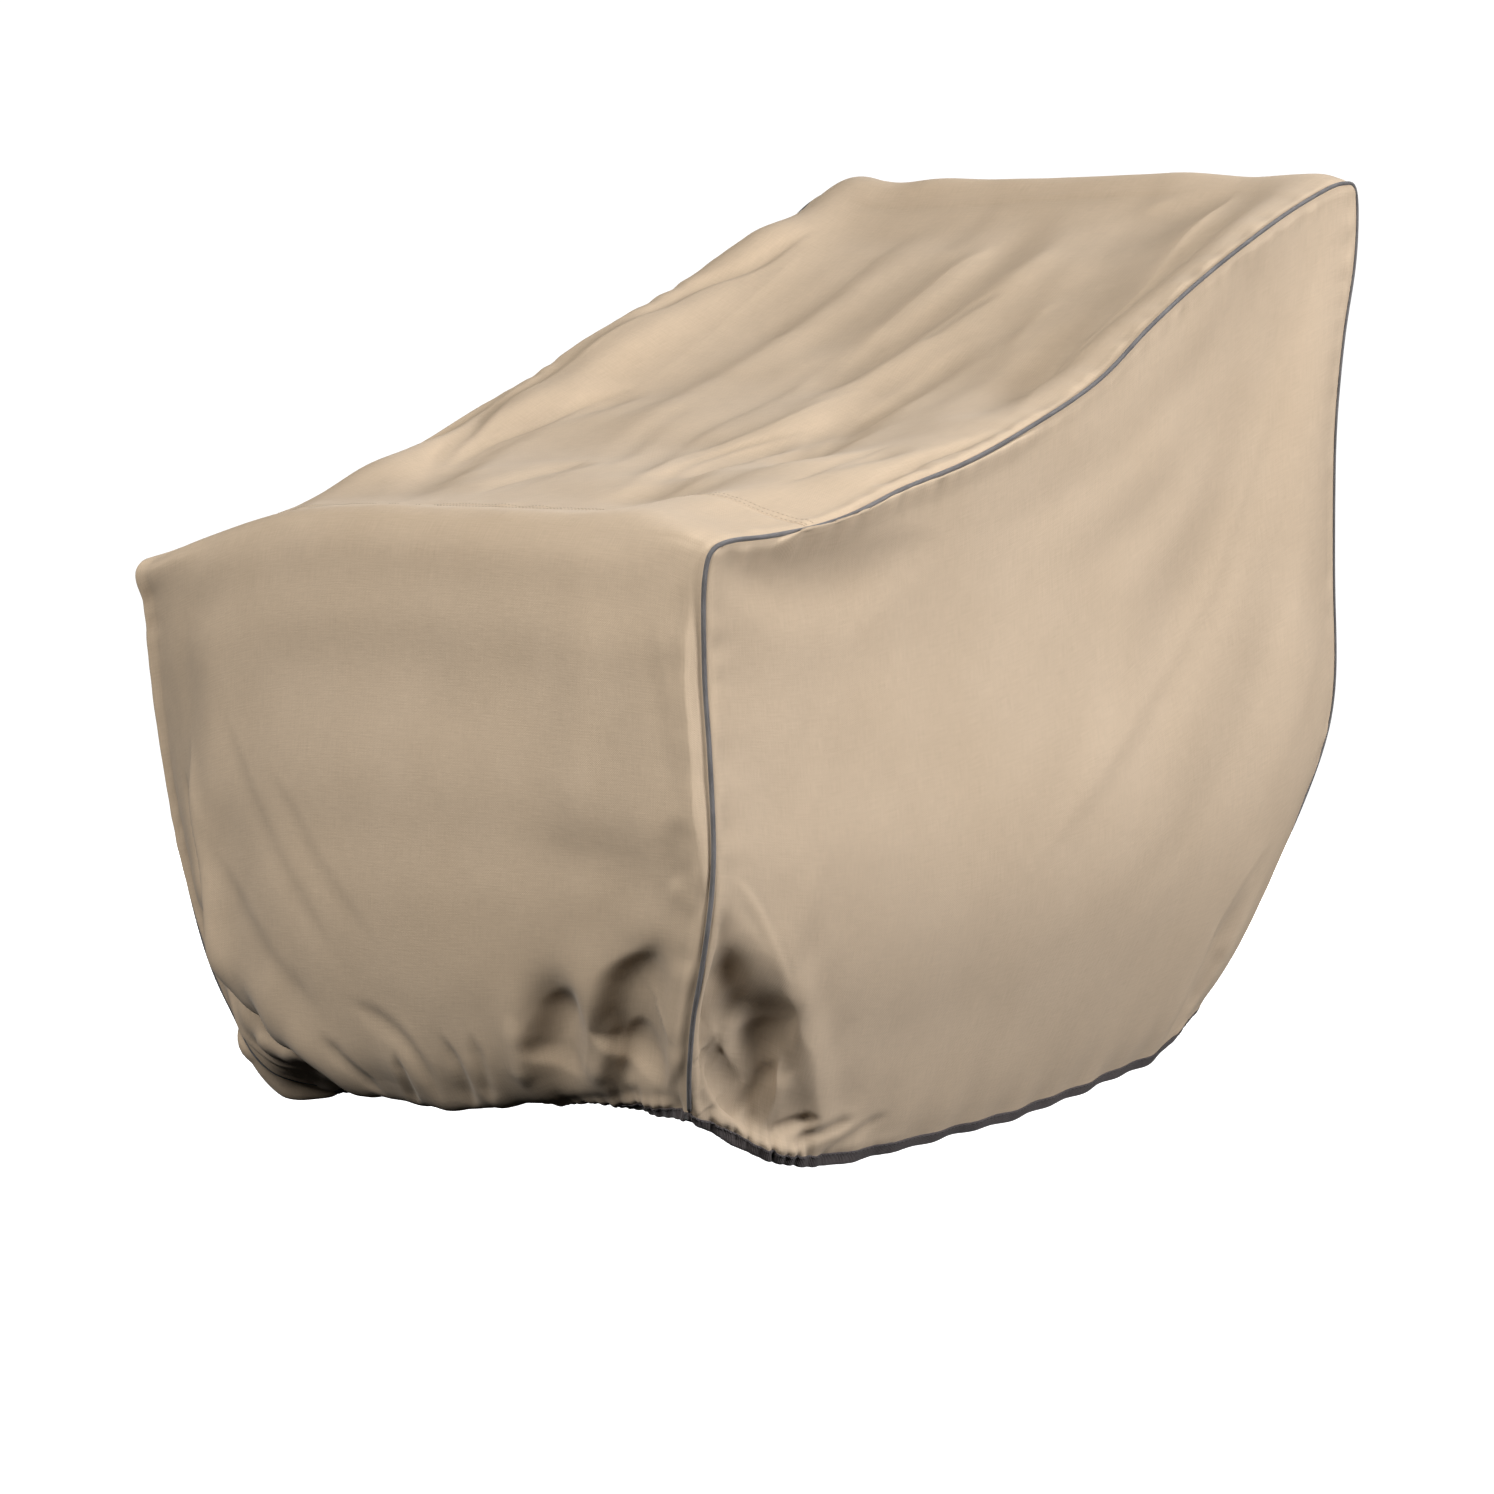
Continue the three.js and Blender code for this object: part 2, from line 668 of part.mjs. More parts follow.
// The tape folded over the hem of every panel in turn, outside wall, foot and inside wall
function foldedTape(name, grids, look) {
  const slot = CANVAS_THICK / 2 + TAPE_GAP;
  const wall = slot + TAPE_THICK;
  const sections = grids.flatMap((grid) => {
    const normals = normalsOf(grid);
    const last = grid.length - 1;
    const endColumn = grid[last].length - 1;
    return grid[last].map((hem, column) => {
      const above = grid[last - 1][column];
      const before = grid[last][Math.max(column - 1, 0)];
      const after = grid[last][Math.min(column + 1, endColumn)];
      const out = normals[last][column];
      const outAbove = normals[last - 1][column];
      const foot = new THREE.Vector3().crossVectors(out, after.clone().sub(before)).normalize();
      if (foot.dot(hem.clone().sub(above)) < 0) foot.negate();
      const low = (side, under) =>
        hem.clone().addScaledVector(out, side).addScaledVector(foot, under);
      const high = (side) => above.clone().addScaledVector(outAbove, side);
      return [
        high(wall),
        low(wall, SEWN_GAP + TAPE_THICK),
        low(-wall, SEWN_GAP + TAPE_THICK),
        high(-wall),
        high(-slot),
        low(-slot, SEWN_GAP),
        low(slot, SEWN_GAP),
        high(slot),
      ];
    });
  });
  const corners = sections[0].length;
  const faces = [];
  sections.forEach((_, section) => {
    const here = section * corners;
    const next = ((section + 1) % sections.length) * corners;
    for (let corner = 0; corner < corners; corner += 1) {
      const other = (corner + 1) % corners;
      const rising = corner === 2 || corner === 6;
      if (rising) {
        faces.push([here + corner, here + other, next + corner]);
        faces.push([here + other, next + other, next + corner]);
      } else {
        faces.push([here + corner, here + other, next + other]);
        faces.push([here + corner, next + other, next + corner]);
      }
    }
  });
  return solid(name, sections.flat(), faces, look);
}

// Shares of two stretches that follow one another, the first ending at a given share
function joined(first, second, at) {
  return [...first.map((share) => share * at), ...second.slice(1).map((s) => at + s * (1 - at))];
}

// The stations of one piped edge, named by where each stretch of it lies
function edgeOf(rows) {
  const line = smoothLine(rows);
  const [frontHem, corner, seam, top, backHem] = line.marks;
  return {
    front: along(line, corner, frontHem, spread(FRONT_CELLS)),
    strip: along(line, seam, corner, spread(STRIP_CELLS)),
    slope: along(line, seam, top, spread(SLOPE_CELLS)),
    back: along(line, top, backHem, spread(FRONT_CELLS)),
    stripShare: (seam - corner) / (top - corner),
    slopeShare: (top - seam) / (backHem - seam),
    frontStripShare: (seam - corner) / (seam - frontHem),
  };
}

// A smooth row of points from one end through the rows of a table to the other end
function guideRow(start, rows, end, shares) {
  return along(smoothLine([start, ...rows, end]), 0, 1, shares);
}

const rightEdge = edgeOf(RIGHT_EDGE);
const leftEdge = edgeOf(LEFT_EDGE);
const acrossShares = spread(ACROSS_CELLS);
const frontShares = spread(FRONT_CELLS);
const slopeShares = spread(SLOPE_CELLS);
const stripShares = spread(STRIP_CELLS);
const endOf = (points) => points[points.length - 1];

// Front panel, from the cross seam over the front edge and down to the hem
function frontPanel() {
  const left = [...leftEdge.strip, ...leftEdge.front.slice(1)];
  const right = [...rightEdge.strip, ...rightEdge.front.slice(1)];
  const down = joined(stripShares, frontShares, rightEdge.frontStripShare);
  const grid = stretched(left, right, acrossShares, down, [
    { row: 0, hold: 1, points: guideRow(left[0], CROSS_SEAM, right[0], acrossShares) },
    {
      row: STRIP_CELLS,
      hold: 1,
      points: guideRow(left[STRIP_CELLS], FRONT_EDGE, right[STRIP_CELLS], acrossShares),
    },
    {
      row: left.length - 1,
      hold: 1.5,
      points: guideRow(endOf(left), FRONT_HEM, endOf(right), acrossShares),
    },
  ]);
  roundOver(grid, STRIP_CELLS, FRONT_TURN, acrossShares);
  grid.forEach((cells, row) => {
    const below = frontShares[row - STRIP_CELLS] ?? 0;
    cells.forEach((p, column) => {
      const at = acrossShares[column];
      const full = (key) => lookUp(POUCH_ACROSS, "across", key, at);
      p.y -= lookUp(POUCH, "down", "forward", below) * full("forward");
      p.z -= lookUp(POUCH, "down", "drop", below) * full("drop");
    });
  });
  return dressed(grid, [], FRONT_FOLDS, acrossShares, down, CROSS_ROOM);
}

// How high a ridge beside an edge stands at a share of the width away from that edge
function ridgeRise(ridge, away) {
  const edge = Math.min(1, away / (ridge.away / 2));
  return ridge.rise * edge * Math.exp(-(((away - ridge.away) / ridge.half) ** 2));
}

// Centre panel, seen from behind, from the cross seam up the slope and down the back
function centrePanel() {
  const left = [...rightEdge.slope, ...rightEdge.back.slice(1)];
  const right = [...leftEdge.slope, ...leftEdge.back.slice(1)];
  const down = joined(slopeShares, frontShares, rightEdge.slopeShare);
  const crossSeam = [...CROSS_SEAM].reverse();
  const backHem = [...BACK_HEM].reverse();
  const grid = stretched(left, right, acrossShares, down, [
    { row: 0, hold: 3, points: guideRow(left[0], crossSeam, right[0], acrossShares) },
    {
      row: SLOPE_CELLS,
      hold: 1,
      points: acrossShares.map((at) => left[SLOPE_CELLS].clone().lerp(right[SLOPE_CELLS], at)),
    },
    {
      row: left.length - 1,
      hold: 1.5,
      points: guideRow(endOf(left), backHem, endOf(right), acrossShares),
    },
  ]);
  roundOver(grid, SLOPE_CELLS, TOP_TURN, acrossShares);
  grid.forEach((cells, row) => {
    const up = slopeShares[row] ?? 1;
    const rise = row > SLOPE_CELLS ? 0 : lookUp(SLOPE_CROWN, "up", "rise", up);
    const climb = row > SLOPE_CELLS + TOP_ROWS ? 0 : Math.min(1, RIDGE_START * up);
    cells.forEach((p, column) => {
      const at = acrossShares[column];
      p.z += rise * Math.min(1, CROWN_FULL * at * (1 - at));
      p.z += ridgeRise(RIGHT_RIDGE, at) * climb + ridgeRise(LEFT_RIDGE, 1 - at) * climb;
    });
  });
  return dressed(grid, [], CENTRE_FOLDS, acrossShares, down, CROSS_ROOM);
}

// A side panel, seen from its own side
function sidePanel(left, right, top, hem, across, swells, folds) {
  const grid = stretched(left, right, across, frontShares, [
    { row: 0, hold: 1, points: top },
    { row: FRONT_CELLS, hold: 1, points: guideRow(endOf(left), hem, endOf(right), across) },
  ]);
  return dressed(grid, swells, folds, across, frontShares, SIDE_ROOM);
}

// Puts the folds in a panel and draws in its edges
function dressed(grid, swells, folds, across, down, topRoom) {
  shape(grid, swells, folds, across, down, freedom(grid));
  gather(grid, freedom(grid));
  trim(grid, SIDE_ROOM, topRoom);
  setTapeRow(grid);
  return grid;
}

const sideAcross = joined(stripShares, slopeShares, rightEdge.stripShare);
const rightTop = [...[...rightEdge.strip].reverse(), ...rightEdge.slope.slice(1)];
const leftTop = [...[...leftEdge.slope].reverse(), ...leftEdge.strip.slice(1)];
const leftAcross = joined(slopeShares, stripShares, 1 - leftEdge.stripShare);

const front = frontPanel();
const centre = centrePanel();
const right = sidePanel(
  rightEdge.front,
  rightEdge.back,
  rightTop,
  RIGHT_HEM,
  sideAcross,
  RIGHT_SWELLS,
  RIGHT_FOLDS,
);
const left = sidePanel(
  leftEdge.back,
  leftEdge.front,
  leftTop,
  [...LEFT_HEM].reverse(),
  leftAcross,
  LEFT_SWELLS,
  LEFT_FOLDS,
);

// The stations of a cord, which ends a little above the tape at both hems
function cordStations(edge) {
  const whole = [
    ...[...edge.front].reverse(),
    ...[...edge.strip].reverse().slice(1),
    ...edge.slope.slice(1),
    ...edge.back.slice(1),
  ];
  const short = TAPE_DEEP + CORD_END_GAP;
  const ends = [whole[0], endOf(whole)];
  const kept = whole.filter((p) => ends.every((end) => p.distanceTo(end) > CORD_LAST * short));
  const endPoint = (end, inner) => end.clone().add(inner.clone().sub(end).setLength(short));
  return [endPoint(ends[0], kept[0]), ...kept, endPoint(ends[1], endOf(kept))];
}

const CANVAS = { color: 0xb9a684, roughness: 0.82, metalness: 0 };
const PIPING = { color: 0x8f8c88, roughness: 0.75, metalness: 0 };
const TAPE = { color: 0x5a514c, roughness: 0.85, metalness: 0 };

// Where the cover hangs from what is under it: the underside of the cloth below the
// top edge, which becomes the origin of the part
const HANGS_ROW = SLOPE_CELLS - TOP_ROWS;
const hangsAt = centre[HANGS_ROW][ACROSS_CELLS / 2].clone();
hangsAt.addScaledVector(normalsOf(centre)[HANGS_ROW][ACROSS_CELLS / 2], -CANVAS_THICK / 2);

const cover = new THREE.Group();
cover.add(
  clothSheet("front_panel", front, CANVAS),
  clothSheet("centre_panel", centre, CANVAS),
  clothSheet("side_right", right, CANVAS),
  clothSheet("side_left", left, CANVAS),
  cord("piping_right", cordStations(rightEdge), PIPING),
  cord("piping_left", cordStations(leftEdge), PIPING),
  foldedTape("hem_binding", [front, right, centre, left], TAPE),
);
cover.position.copy(hangsAt).negate();

export default cover;
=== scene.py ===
import math

import bmesh
import bpy
import numpy as np
from mathutils import Matrix, Vector


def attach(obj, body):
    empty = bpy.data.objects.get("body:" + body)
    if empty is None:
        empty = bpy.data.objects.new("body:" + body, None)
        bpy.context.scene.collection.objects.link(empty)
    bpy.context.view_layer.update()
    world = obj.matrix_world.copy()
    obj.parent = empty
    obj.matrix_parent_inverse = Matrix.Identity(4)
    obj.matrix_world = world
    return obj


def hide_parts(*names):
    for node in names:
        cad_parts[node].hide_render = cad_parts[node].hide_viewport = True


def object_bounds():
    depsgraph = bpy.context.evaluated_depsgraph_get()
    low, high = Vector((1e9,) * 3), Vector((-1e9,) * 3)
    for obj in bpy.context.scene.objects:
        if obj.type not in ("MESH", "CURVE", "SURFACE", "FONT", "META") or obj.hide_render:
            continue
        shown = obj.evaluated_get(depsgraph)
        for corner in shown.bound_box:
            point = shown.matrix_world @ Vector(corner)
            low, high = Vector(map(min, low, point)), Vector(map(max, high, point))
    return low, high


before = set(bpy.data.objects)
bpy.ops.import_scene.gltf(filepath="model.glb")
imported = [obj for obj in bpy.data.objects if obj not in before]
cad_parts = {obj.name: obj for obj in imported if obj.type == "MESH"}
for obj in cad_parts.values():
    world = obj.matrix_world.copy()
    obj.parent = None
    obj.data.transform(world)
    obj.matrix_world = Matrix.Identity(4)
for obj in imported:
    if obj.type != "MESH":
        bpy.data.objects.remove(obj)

cad_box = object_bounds()

# Front panel: plain-woven tan canvas, cut straight across at the cross seam and drawn in by
# the elastic at its hem. It turns over the front edge, hangs flat for most of its height,
# bellies forward lower down and folds back under itself to the hem.
MM = 0.001
CANVAS_THICK = 0.0011
CANVAS_DARK = (0.525, 0.402, 0.278, 1)
CANVAS_LIGHT = (0.575, 0.446, 0.316, 1)
YARN_PITCH = 0.00085
# Every side of a face of the solid's cloth is longer than this, and its rim has shorter ones
RIM = 0.0015
# How many fine rows and columns of cloth each row and column of the solid is parted into
FRONT_DOWN = [10] * 24
FRONT_ACROSS = [12] * 26
# Folds fade within these distances of a seam and of the hem
SEAM_HOLDS = 0.009
HEM_HOLDS = 0.03
# The cords between the panels have a point at each step. Raw edges that are within reach of
# a cord are drawn in until they are clear of its middle by so much, and the cloth gives
CORD_STEP = 0.0005
CORD_REACH = 0.008
CORD_CLEAR = 0.0013
EDGE_GIVES = 0.005
# A roll beside a seam crests 6 mm from it where nothing else is given, and starts at its edge
ROLL_AT = 6
ROLL_STARTS = 0.0025
# Unevenness all over the cloth, and the short puckers along its seams
CRUMPLE = {"apart": 0.07, "high": 0.0006}
PUCKER = {"apart": 0.011, "wide": 0.007, "high": 0.0005}
# The tape holds the gathers back over this height, and above it the cloth puffs out, by the
# value of high for each millimetre that the gathers are deep
TAPE_HOLDS = 0.006
PUFF = {"up": 0.012, "tall": 0.006, "high": 0.0007}
# How far from a seam and the hem the cloth is rubbed pale, how high a crest is that is rubbed
# most and how deep a trough is that is given the most painted shade, and how deep a fold is
# that is given the darkest painted shade
WEAR_AND_TROUGH_SHADE = {"seam": 0.006, "hem": 0.02, "crest": 0.0012}
FOLD_SHADE_DEPTH = 0.02


def crease(path, **sizes):
    """A crease's path, in thousandths of the panel across and down it, and its sizes in
    millimetres: how high it is, and how wide on the left and on the right of someone who
    follows it on the outside. Where the cloth drops to the right from a sharp crest, drop is
    over how far, and how far it takes to come up again, and hollow is how steep it is at the
    crest. Ends are the shares of the path over which the crease fades."""
    return {"path": np.array(path) / 1000, **sizes}


FRONT_CREASES = [
    crease([(236, 477), (278, 544), (330, 616), (385, 673), (437, 719), (484, 758)],
           wide=(8, 14), high=-1.2),
    crease([(330, 559), (382, 609), (427, 654), (477, 695), (532, 733)], wide=(7, 12), high=-1),
    crease([(152, 533), (199, 600), (253, 666), (325, 730), (395, 779), (456, 813)],
           wide=(9, 14), high=-1.3),
    crease([(110, 420), (118, 520), (132, 600), (165, 680)], wide=(16, 16), high=-1.6),
    crease([(870, 300), (878, 400), (882, 520), (880, 610)], wide=(20, 26), high=-1.4),
    crease([(950, 250), (950, 360), (950, 460), (955, 560), (958, 690)], wide=(15, 85), high=10),
    crease([(968, 290), (952, 361), (941, 411), (929, 476)], wide=(6, 9), high=-2),
    crease([(893, 385), (904, 459), (917, 537), (937, 602)], wide=(7, 9), high=-1.6),
    crease([(938, 585), (925, 611), (923, 635), (940, 660)], wide=(12, 10), high=-2),
    crease([(905, 655), (938, 668), (970, 672)], wide=(8, 8), high=1.4),
    crease([(820, 762), (818, 800), (808, 840), (790, 900)],
           drop=(26, 22), high=-7, hollow=1.2, ends=(0.5, 0.2)),
    crease([(848, 805), (838, 836), (823, 866), (800, 905)], wide=(8, 9), high=2.5),
    crease([(938, 695), (952, 745), (952, 800), (940, 855), (915, 925)],
           drop=(42, 28), high=-11, hollow=1.2, ends=(0.5, 0.15)),
    crease([(945, 715), (968, 757), (972, 800), (957, 850), (930, 905)], wide=(7, 6), high=2.5),
    crease([(880, 815), (866, 860), (841, 915)], wide=(6, 6), high=-3.5),
    crease([(770, 810), (850, 850), (930, 855), (985, 835)], wide=(36, 30), high=-4),
    crease([(473, 785), (527, 800), (569, 819), (586, 851), (582, 895)], wide=(7, 9), high=-3),
    crease([(613, 805), (631, 833), (632, 868), (614, 915)], wide=(6, 8), high=-3.4),
    crease([(541, 823), (541, 860), (521, 915)], wide=(6, 6), high=-3.6),
    crease([(660, 805), (668, 843), (656, 900)], wide=(6, 7), high=-3),
    crease([(717, 790), (724, 832), (714, 885)], wide=(8, 8), high=3),
    crease([(420, 815), (455, 850), (480, 905)], wide=(7, 8), high=-3.2),
    crease([(160, 500), (185, 575), (205, 640), (215, 700), (222, 760), (262, 815), (340, 865),
            (400, 915)], wide=(20, 6), high=12),
    crease([(128, 530), (148, 600), (160, 650), (168, 720), (180, 780), (225, 845), (300, 905)],
           wide=(5, 12), high=-12, crisp=2.2),
    crease([(90, 740), (110, 800), (150, 870), (190, 930)], wide=(7, 9), high=4),
    crease([(60, 800), (80, 860), (120, 930)], wide=(6, 6), high=-3),
    crease([(30, 930), (100, 950), (180, 955), (270, 950)], wide=(17, 17), high=12, ends=(0.2, 0.2)),
    crease([(240, 935), (300, 945), (380, 950), (460, 945), (530, 935), (580, 925)],
           wide=(15, 15), high=8, ends=(0.2, 0.2)),
    crease([(40, 480), (55, 600), (70, 700), (70, 780)], wide=(10, 12), high=-2),
]
# Where the elastic gathers the hem, in shares of its length, and how deep, far apart and
# tall the gathers are in millimetres
FRONT_GATHERS = [
    {"from": 0.02, "to": 0.60, "deep": 2.6, "pitch": 13, "tall": 34},
    {"from": 0.60, "to": 0.985, "deep": 4.6, "pitch": 10, "tall": 24},
]
# How far the cloth rolls out beside its piped seams and over the cord, in millimetres, at
# shares of the seam from its top
FRONT_ROLLS = {
    "left": [(0, 2, 1), (0.08, 5, 3), (0.55, 5, 3), (0.7, 2.5, 1), (1, 1.5, 0.5)],
    "right": [(0, 0.6, 0.4), (0.5, 0.6, 0.5), (0.62, 3, 3), (0.72, 3, 3), (0.8, 0.9, 0.6), (1, 0.9, 0.4)],
}


def skins_of(faces, turn=180):
    """The given faces in connected groups, parted wherever they turn by more than turn degrees"""
    rest = set(faces)
    skins = []
    while rest:
        skin = {rest.pop()}
        border = list(skin)
        while border:
            for edge in border.pop().edges:
                if edge.calc_face_angle(0) > math.radians(turn):
                    continue
                for other in edge.link_faces:
                    if other in rest:
                        rest.remove(other)
                        skin.add(other)
                        border.append(other)
        skins.append(skin)
    return skins


def merged_copy(node):
    """A copy of a solid's mesh with its loose triangles joined"""
    shell = bmesh.new()
    shell.from_mesh(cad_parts[node].data)
    bmesh.ops.remove_doubles(shell, verts=shell.verts, dist=1e-5)
    shell.normal_update()
    return shell


def panel_points(node):
    """The outer face of a panel's solid, as rows of points from its top to its hem"""
    shell = merged_copy(node)
    middle = (cad_box[0] + cad_box[1]) / 2

    def facing(skin):
        return sum(f.calc_area() * f.normal.dot(f.calc_center_median() - middle) for f in skin)

    # The rim has sides as short as the cloth is thick, and no face of the cloth has
    woven = [f for f in shell.faces if min(e.calc_length() for e in f.edges) > RIM]
    outer = max(skins_of(woven), key=facing)
    # Every triangle has one upright, one level and one slanted side, in that order, so the
    # row and the column of each point follow from those of a corner
    steps = ((1, 0), (0, 1), (-1, -1))
    corner = next(v for v in shell.verts if sum(f in outer for f in v.link_faces) == 1)
    first = next(loop for loop in corner.link_loops if loop.face in outer)
    place = {corner: (0, 0)}
    seen = {first.face}
    queue = [(first, 1, 1)]
    while queue:
        loop, side, sign = queue.pop()
        for _ in range(3):
            row, column = place[loop.vert]
            down, along = steps[side]
            place[loop.link_loop_next.vert] = (row + sign * down, column + sign * along)
            other = loop.link_loop_radial_next
            if other.face in outer and other.face not in seen:
                seen.add(other.face)
                queue.append((other, side, -sign))
            loop, side = loop.link_loop_next, (side + 1) % 3
    rows = np.array([at[0] for at in place.values()])
    columns = np.array([at[1] for at in place.values()])
    points = np.zeros((np.ptp(rows) + 1, np.ptp(columns) + 1, 3))
    points[rows - rows.min(), columns - columns.min()] = [v.co for v in place]
    shell.free()
    if points[0, :, 2].mean() < points[-1, :, 2].mean():
        points = points[::-1, ::-1]
    return points


def smooth_weights(count, at):
    """How much each point of a row counts at the places at, for a smooth curve through all"""
    bend, pull = np.eye(count), np.zeros((count, count))
    for k in range(1, count - 1):
        bend[k, k - 1 : k + 2] = 1, 4, 1
        pull[k, k - 1 : k + 2] = 6, -12, 6
    second = np.linalg.solve(bend, pull)
    cell = np.clip(at.astype(int), 0, count - 2)
    t = (at - cell)[:, None]
    line = np.eye(count)
    near = (1 - t) * line[cell] + ((1 - t) ** 3 - (1 - t)) / 6 * second[cell]
    return near + t * line[cell + 1] + (t**3 - t) / 6 * second[cell + 1]


def threads_at(cells):
    """Where the fine rows lie when each cell of a panel is parted into the given number"""
    parts = [cell + np.arange(count) / count for cell, count in enumerate(cells)]
    return np.append(np.concatenate(parts), len(cells))


def normals_of(points):
    """The direction out of the cloth at each point"""
    out = np.cross(np.gradient(points, axis=0), np.gradient(points, axis=1))
    return out / np.linalg.norm(out, axis=2, keepdims=True)


def eased(x):
    """0 below 0, 1 above 1 and a smooth rise between them"""
    x = np.clip(x, 0, 1)
    return x * x * (3 - 2 * x)


def run_of(points, way=0):
    """How far each point lies along its line, or along its column or row of a panel"""
    steps = np.linalg.norm(np.diff(points, axis=way), axis=-1)
    start = [(0, 0)] * steps.ndim
    start[way] = (1, 0)
    return np.pad(np.cumsum(steps, axis=way), start)


def points_at(at, far, line):
    """Where a line is at some distances, given how far along it each of its points lies"""
    return np.stack([np.interp(at, far, line[:, k]) for k in range(3)], axis=-1)


def far_from_seams(points):
    """How far each point of a panel is from its nearest sewn edge, and from its hem"""
    along = run_of(points, 1)
    down = run_of(points, 0)
    seam = np.minimum(np.minimum(along, along[:, -1:] - along), down)
    return seam, down[-1] - down


def sewn_edge(points, edge):
    """A panel's sewn edge as a line, and how far each point of the panel is from it"""
    if edge == "top":
        return points[0], run_of(points, 0)
    far = run_of(points, 1)
    if edge == "left":
        return points[:, 0], far
    return points[:, -1], far[:, -1:] - far


def beside(values, edge):
    """Values along a sewn edge, set out for all the points of the panel beside it"""
    return values[None] if edge == "top" else values[:, None]


def crease_lift(points, down_at, across_at, creases):
    """How far a panel's creases raise or sink each of its points"""
    out = normals_of(points)
    lift = np.zeros(points.shape[:2])
    tall = run_of(points[:, points.shape[1] // 2])[-1]
    for fold in creases:
        count = len(fold["path"])
        path = smooth_weights(count, np.linspace(0, count - 1, 14 * count)) @ fold["path"]
        row = np.interp(path[:, 1] * down_at[-1], down_at, np.arange(len(down_at)))
        column = np.interp(path[:, 0] * across_at[-1], across_at, np.arange(len(across_at)))
        top, near = (w.astype(int).clip(0, n - 2) for w, n in zip((row, column), lift.shape))
        low, side = (row - top)[:, None], (column - near)[:, None]
        line = (1 - low) * (1 - side) * points[top, near] + low * side * points[top + 1, near + 1]
        line += low * (1 - side) * points[top + 1, near] + (1 - low) * side * points[top, near + 1]
        ahead = np.gradient(line, axis=0)
        ahead /= np.linalg.norm(ahead, axis=1, keepdims=True)
        left = np.cross(out[top, near], ahead)
        run = run_of(line)
        wide = np.array(fold.get("wide", (0, 0))) * MM
        fall, back = np.array(fold.get("drop", (0, 0))) * MM
        reach = max(2.2 * wide.max(), fall + back)
        inside = (points > line.min(axis=0) - reach) & (points < line.max(axis=0) + reach)
        # Only the cloth on this side of the cover, not what hangs behind it
        from_path = np.abs(down_at / down_at[-1] - path[:, 1].mean())
        level = from_path < np.ptp(path[:, 1]) / 2 + reach / tall
        spots = np.nonzero(inside.all(axis=2) & level[:, None])
        apart = points[spots][:, None] - line[None]
        closest = np.argmin(np.sum(apart**2, axis=2), axis=1)
        apart = apart[np.arange(len(closest)), closest]
        aside = np.sum(apart * left[closest], axis=1)
        onward = np.sum(apart * ahead[closest], axis=1)
        share = np.clip((run[closest] + onward) / run[-1], 0, 1)
        start, end = fold.get("ends", (0.3, 0.3))
        swell = eased(share / start) * eased((1 - share) / end)
        narrow = 0.5 + 0.5 * swell
        if fall:
            shape = 1 - (1 - np.clip(-aside / (fall * narrow), 0, 1)) ** fold.get("hollow", 1.6)
            shape -= eased((-aside - fall * narrow) / (back * narrow))
        else:
            width = np.where(aside > 0, wide[0], wide[1]) * narrow
            shape = np.exp(-np.abs(aside / width) ** fold.get("crisp", 2))
        lift[spots] += fold["high"] * MM * swell * shape
    return lift


def gather_lift(points, gathers, seed):
    """How far the gathers of the hem sink each point of a panel"""
    chance = np.random.default_rng(seed)
    along = run_of(points[-1])
    share = along / along[-1]
    above = far_from_seams(points)[1]
    lift = np.zeros(points.shape[:2])
    for gather in gathers:
        pitch = gather["pitch"] * MM
        at = gather["from"] * along[-1]
        while at < gather["to"] * along[-1]:
            at += pitch * chance.uniform(0.65, 1.4)
            deep = gather["deep"] * MM * chance.uniform(0.45, 1.15)
            tall = gather["tall"] * MM * chance.uniform(0.5, 1.5)
            lean = chance.uniform(-0.25, 0.25)
            width = pitch * chance.uniform(0.2, 0.32)
            aside = (along[None] - at - lean * above) / (width * (1 + above / tall))
            rise = 0.3 + 0.7 * (1 - np.exp(-above / TAPE_HOLDS))
            lift -= deep * rise * np.exp(-(aside**2)) * np.exp(-((above / tall) ** 1.5))
        puffed = eased((share - gather["from"]) / 0.03) * eased((gather["to"] - share) / 0.03)
        bulge = np.exp(-(((above - PUFF["up"]) / PUFF["tall"]) ** 2))
        lift += gather["deep"] * PUFF["high"] * puffed[None] * bulge
    return lift


def crumple_lift(points, seed):
    """Faint unevenness of cloth that has been packed and handled"""
    chance = np.random.default_rng(seed)
    lift = np.zeros(points.shape[:2])
    rows, columns = lift.shape
    wide = run_of(points[rows // 2])[-1]
    tall = run_of(points[:, columns // 2])[-1]
    for finer, share in ((1, 1), (0.4, 0.3)):
        apart = CRUMPLE["apart"] * finer
        level, upright = max(4, round(wide / apart)), max(4, round(tall / apart))
        knots = chance.normal(size=(upright, level))
        down = smooth_weights(upright, np.linspace(0, upright - 1, rows))
        across = smooth_weights(level, np.linspace(0, level - 1, columns))
        lift += CRUMPLE["high"] * share * (down @ knots @ across.T)
    return lift


def pucker_lift(points, seed):
    """Short ripples along the sewn edges, where the needle drew the cloth together"""
    chance = np.random.default_rng(seed)
    lift = np.zeros(points.shape[:2])
    for edge in ("left", "right", "top"):
        line, far = sewn_edge(points, edge)
        run = run_of(line)
        count = max(4, round(run[-1] / PUCKER["apart"]))
        ripple = smooth_weights(count, run / run[-1] * (count - 1)) @ chance.normal(size=count)
        size = far / PUCKER["wide"] * np.exp(1 - far / PUCKER["wide"])
        lift += PUCKER["high"] * size * beside(ripple, edge)
    return lift


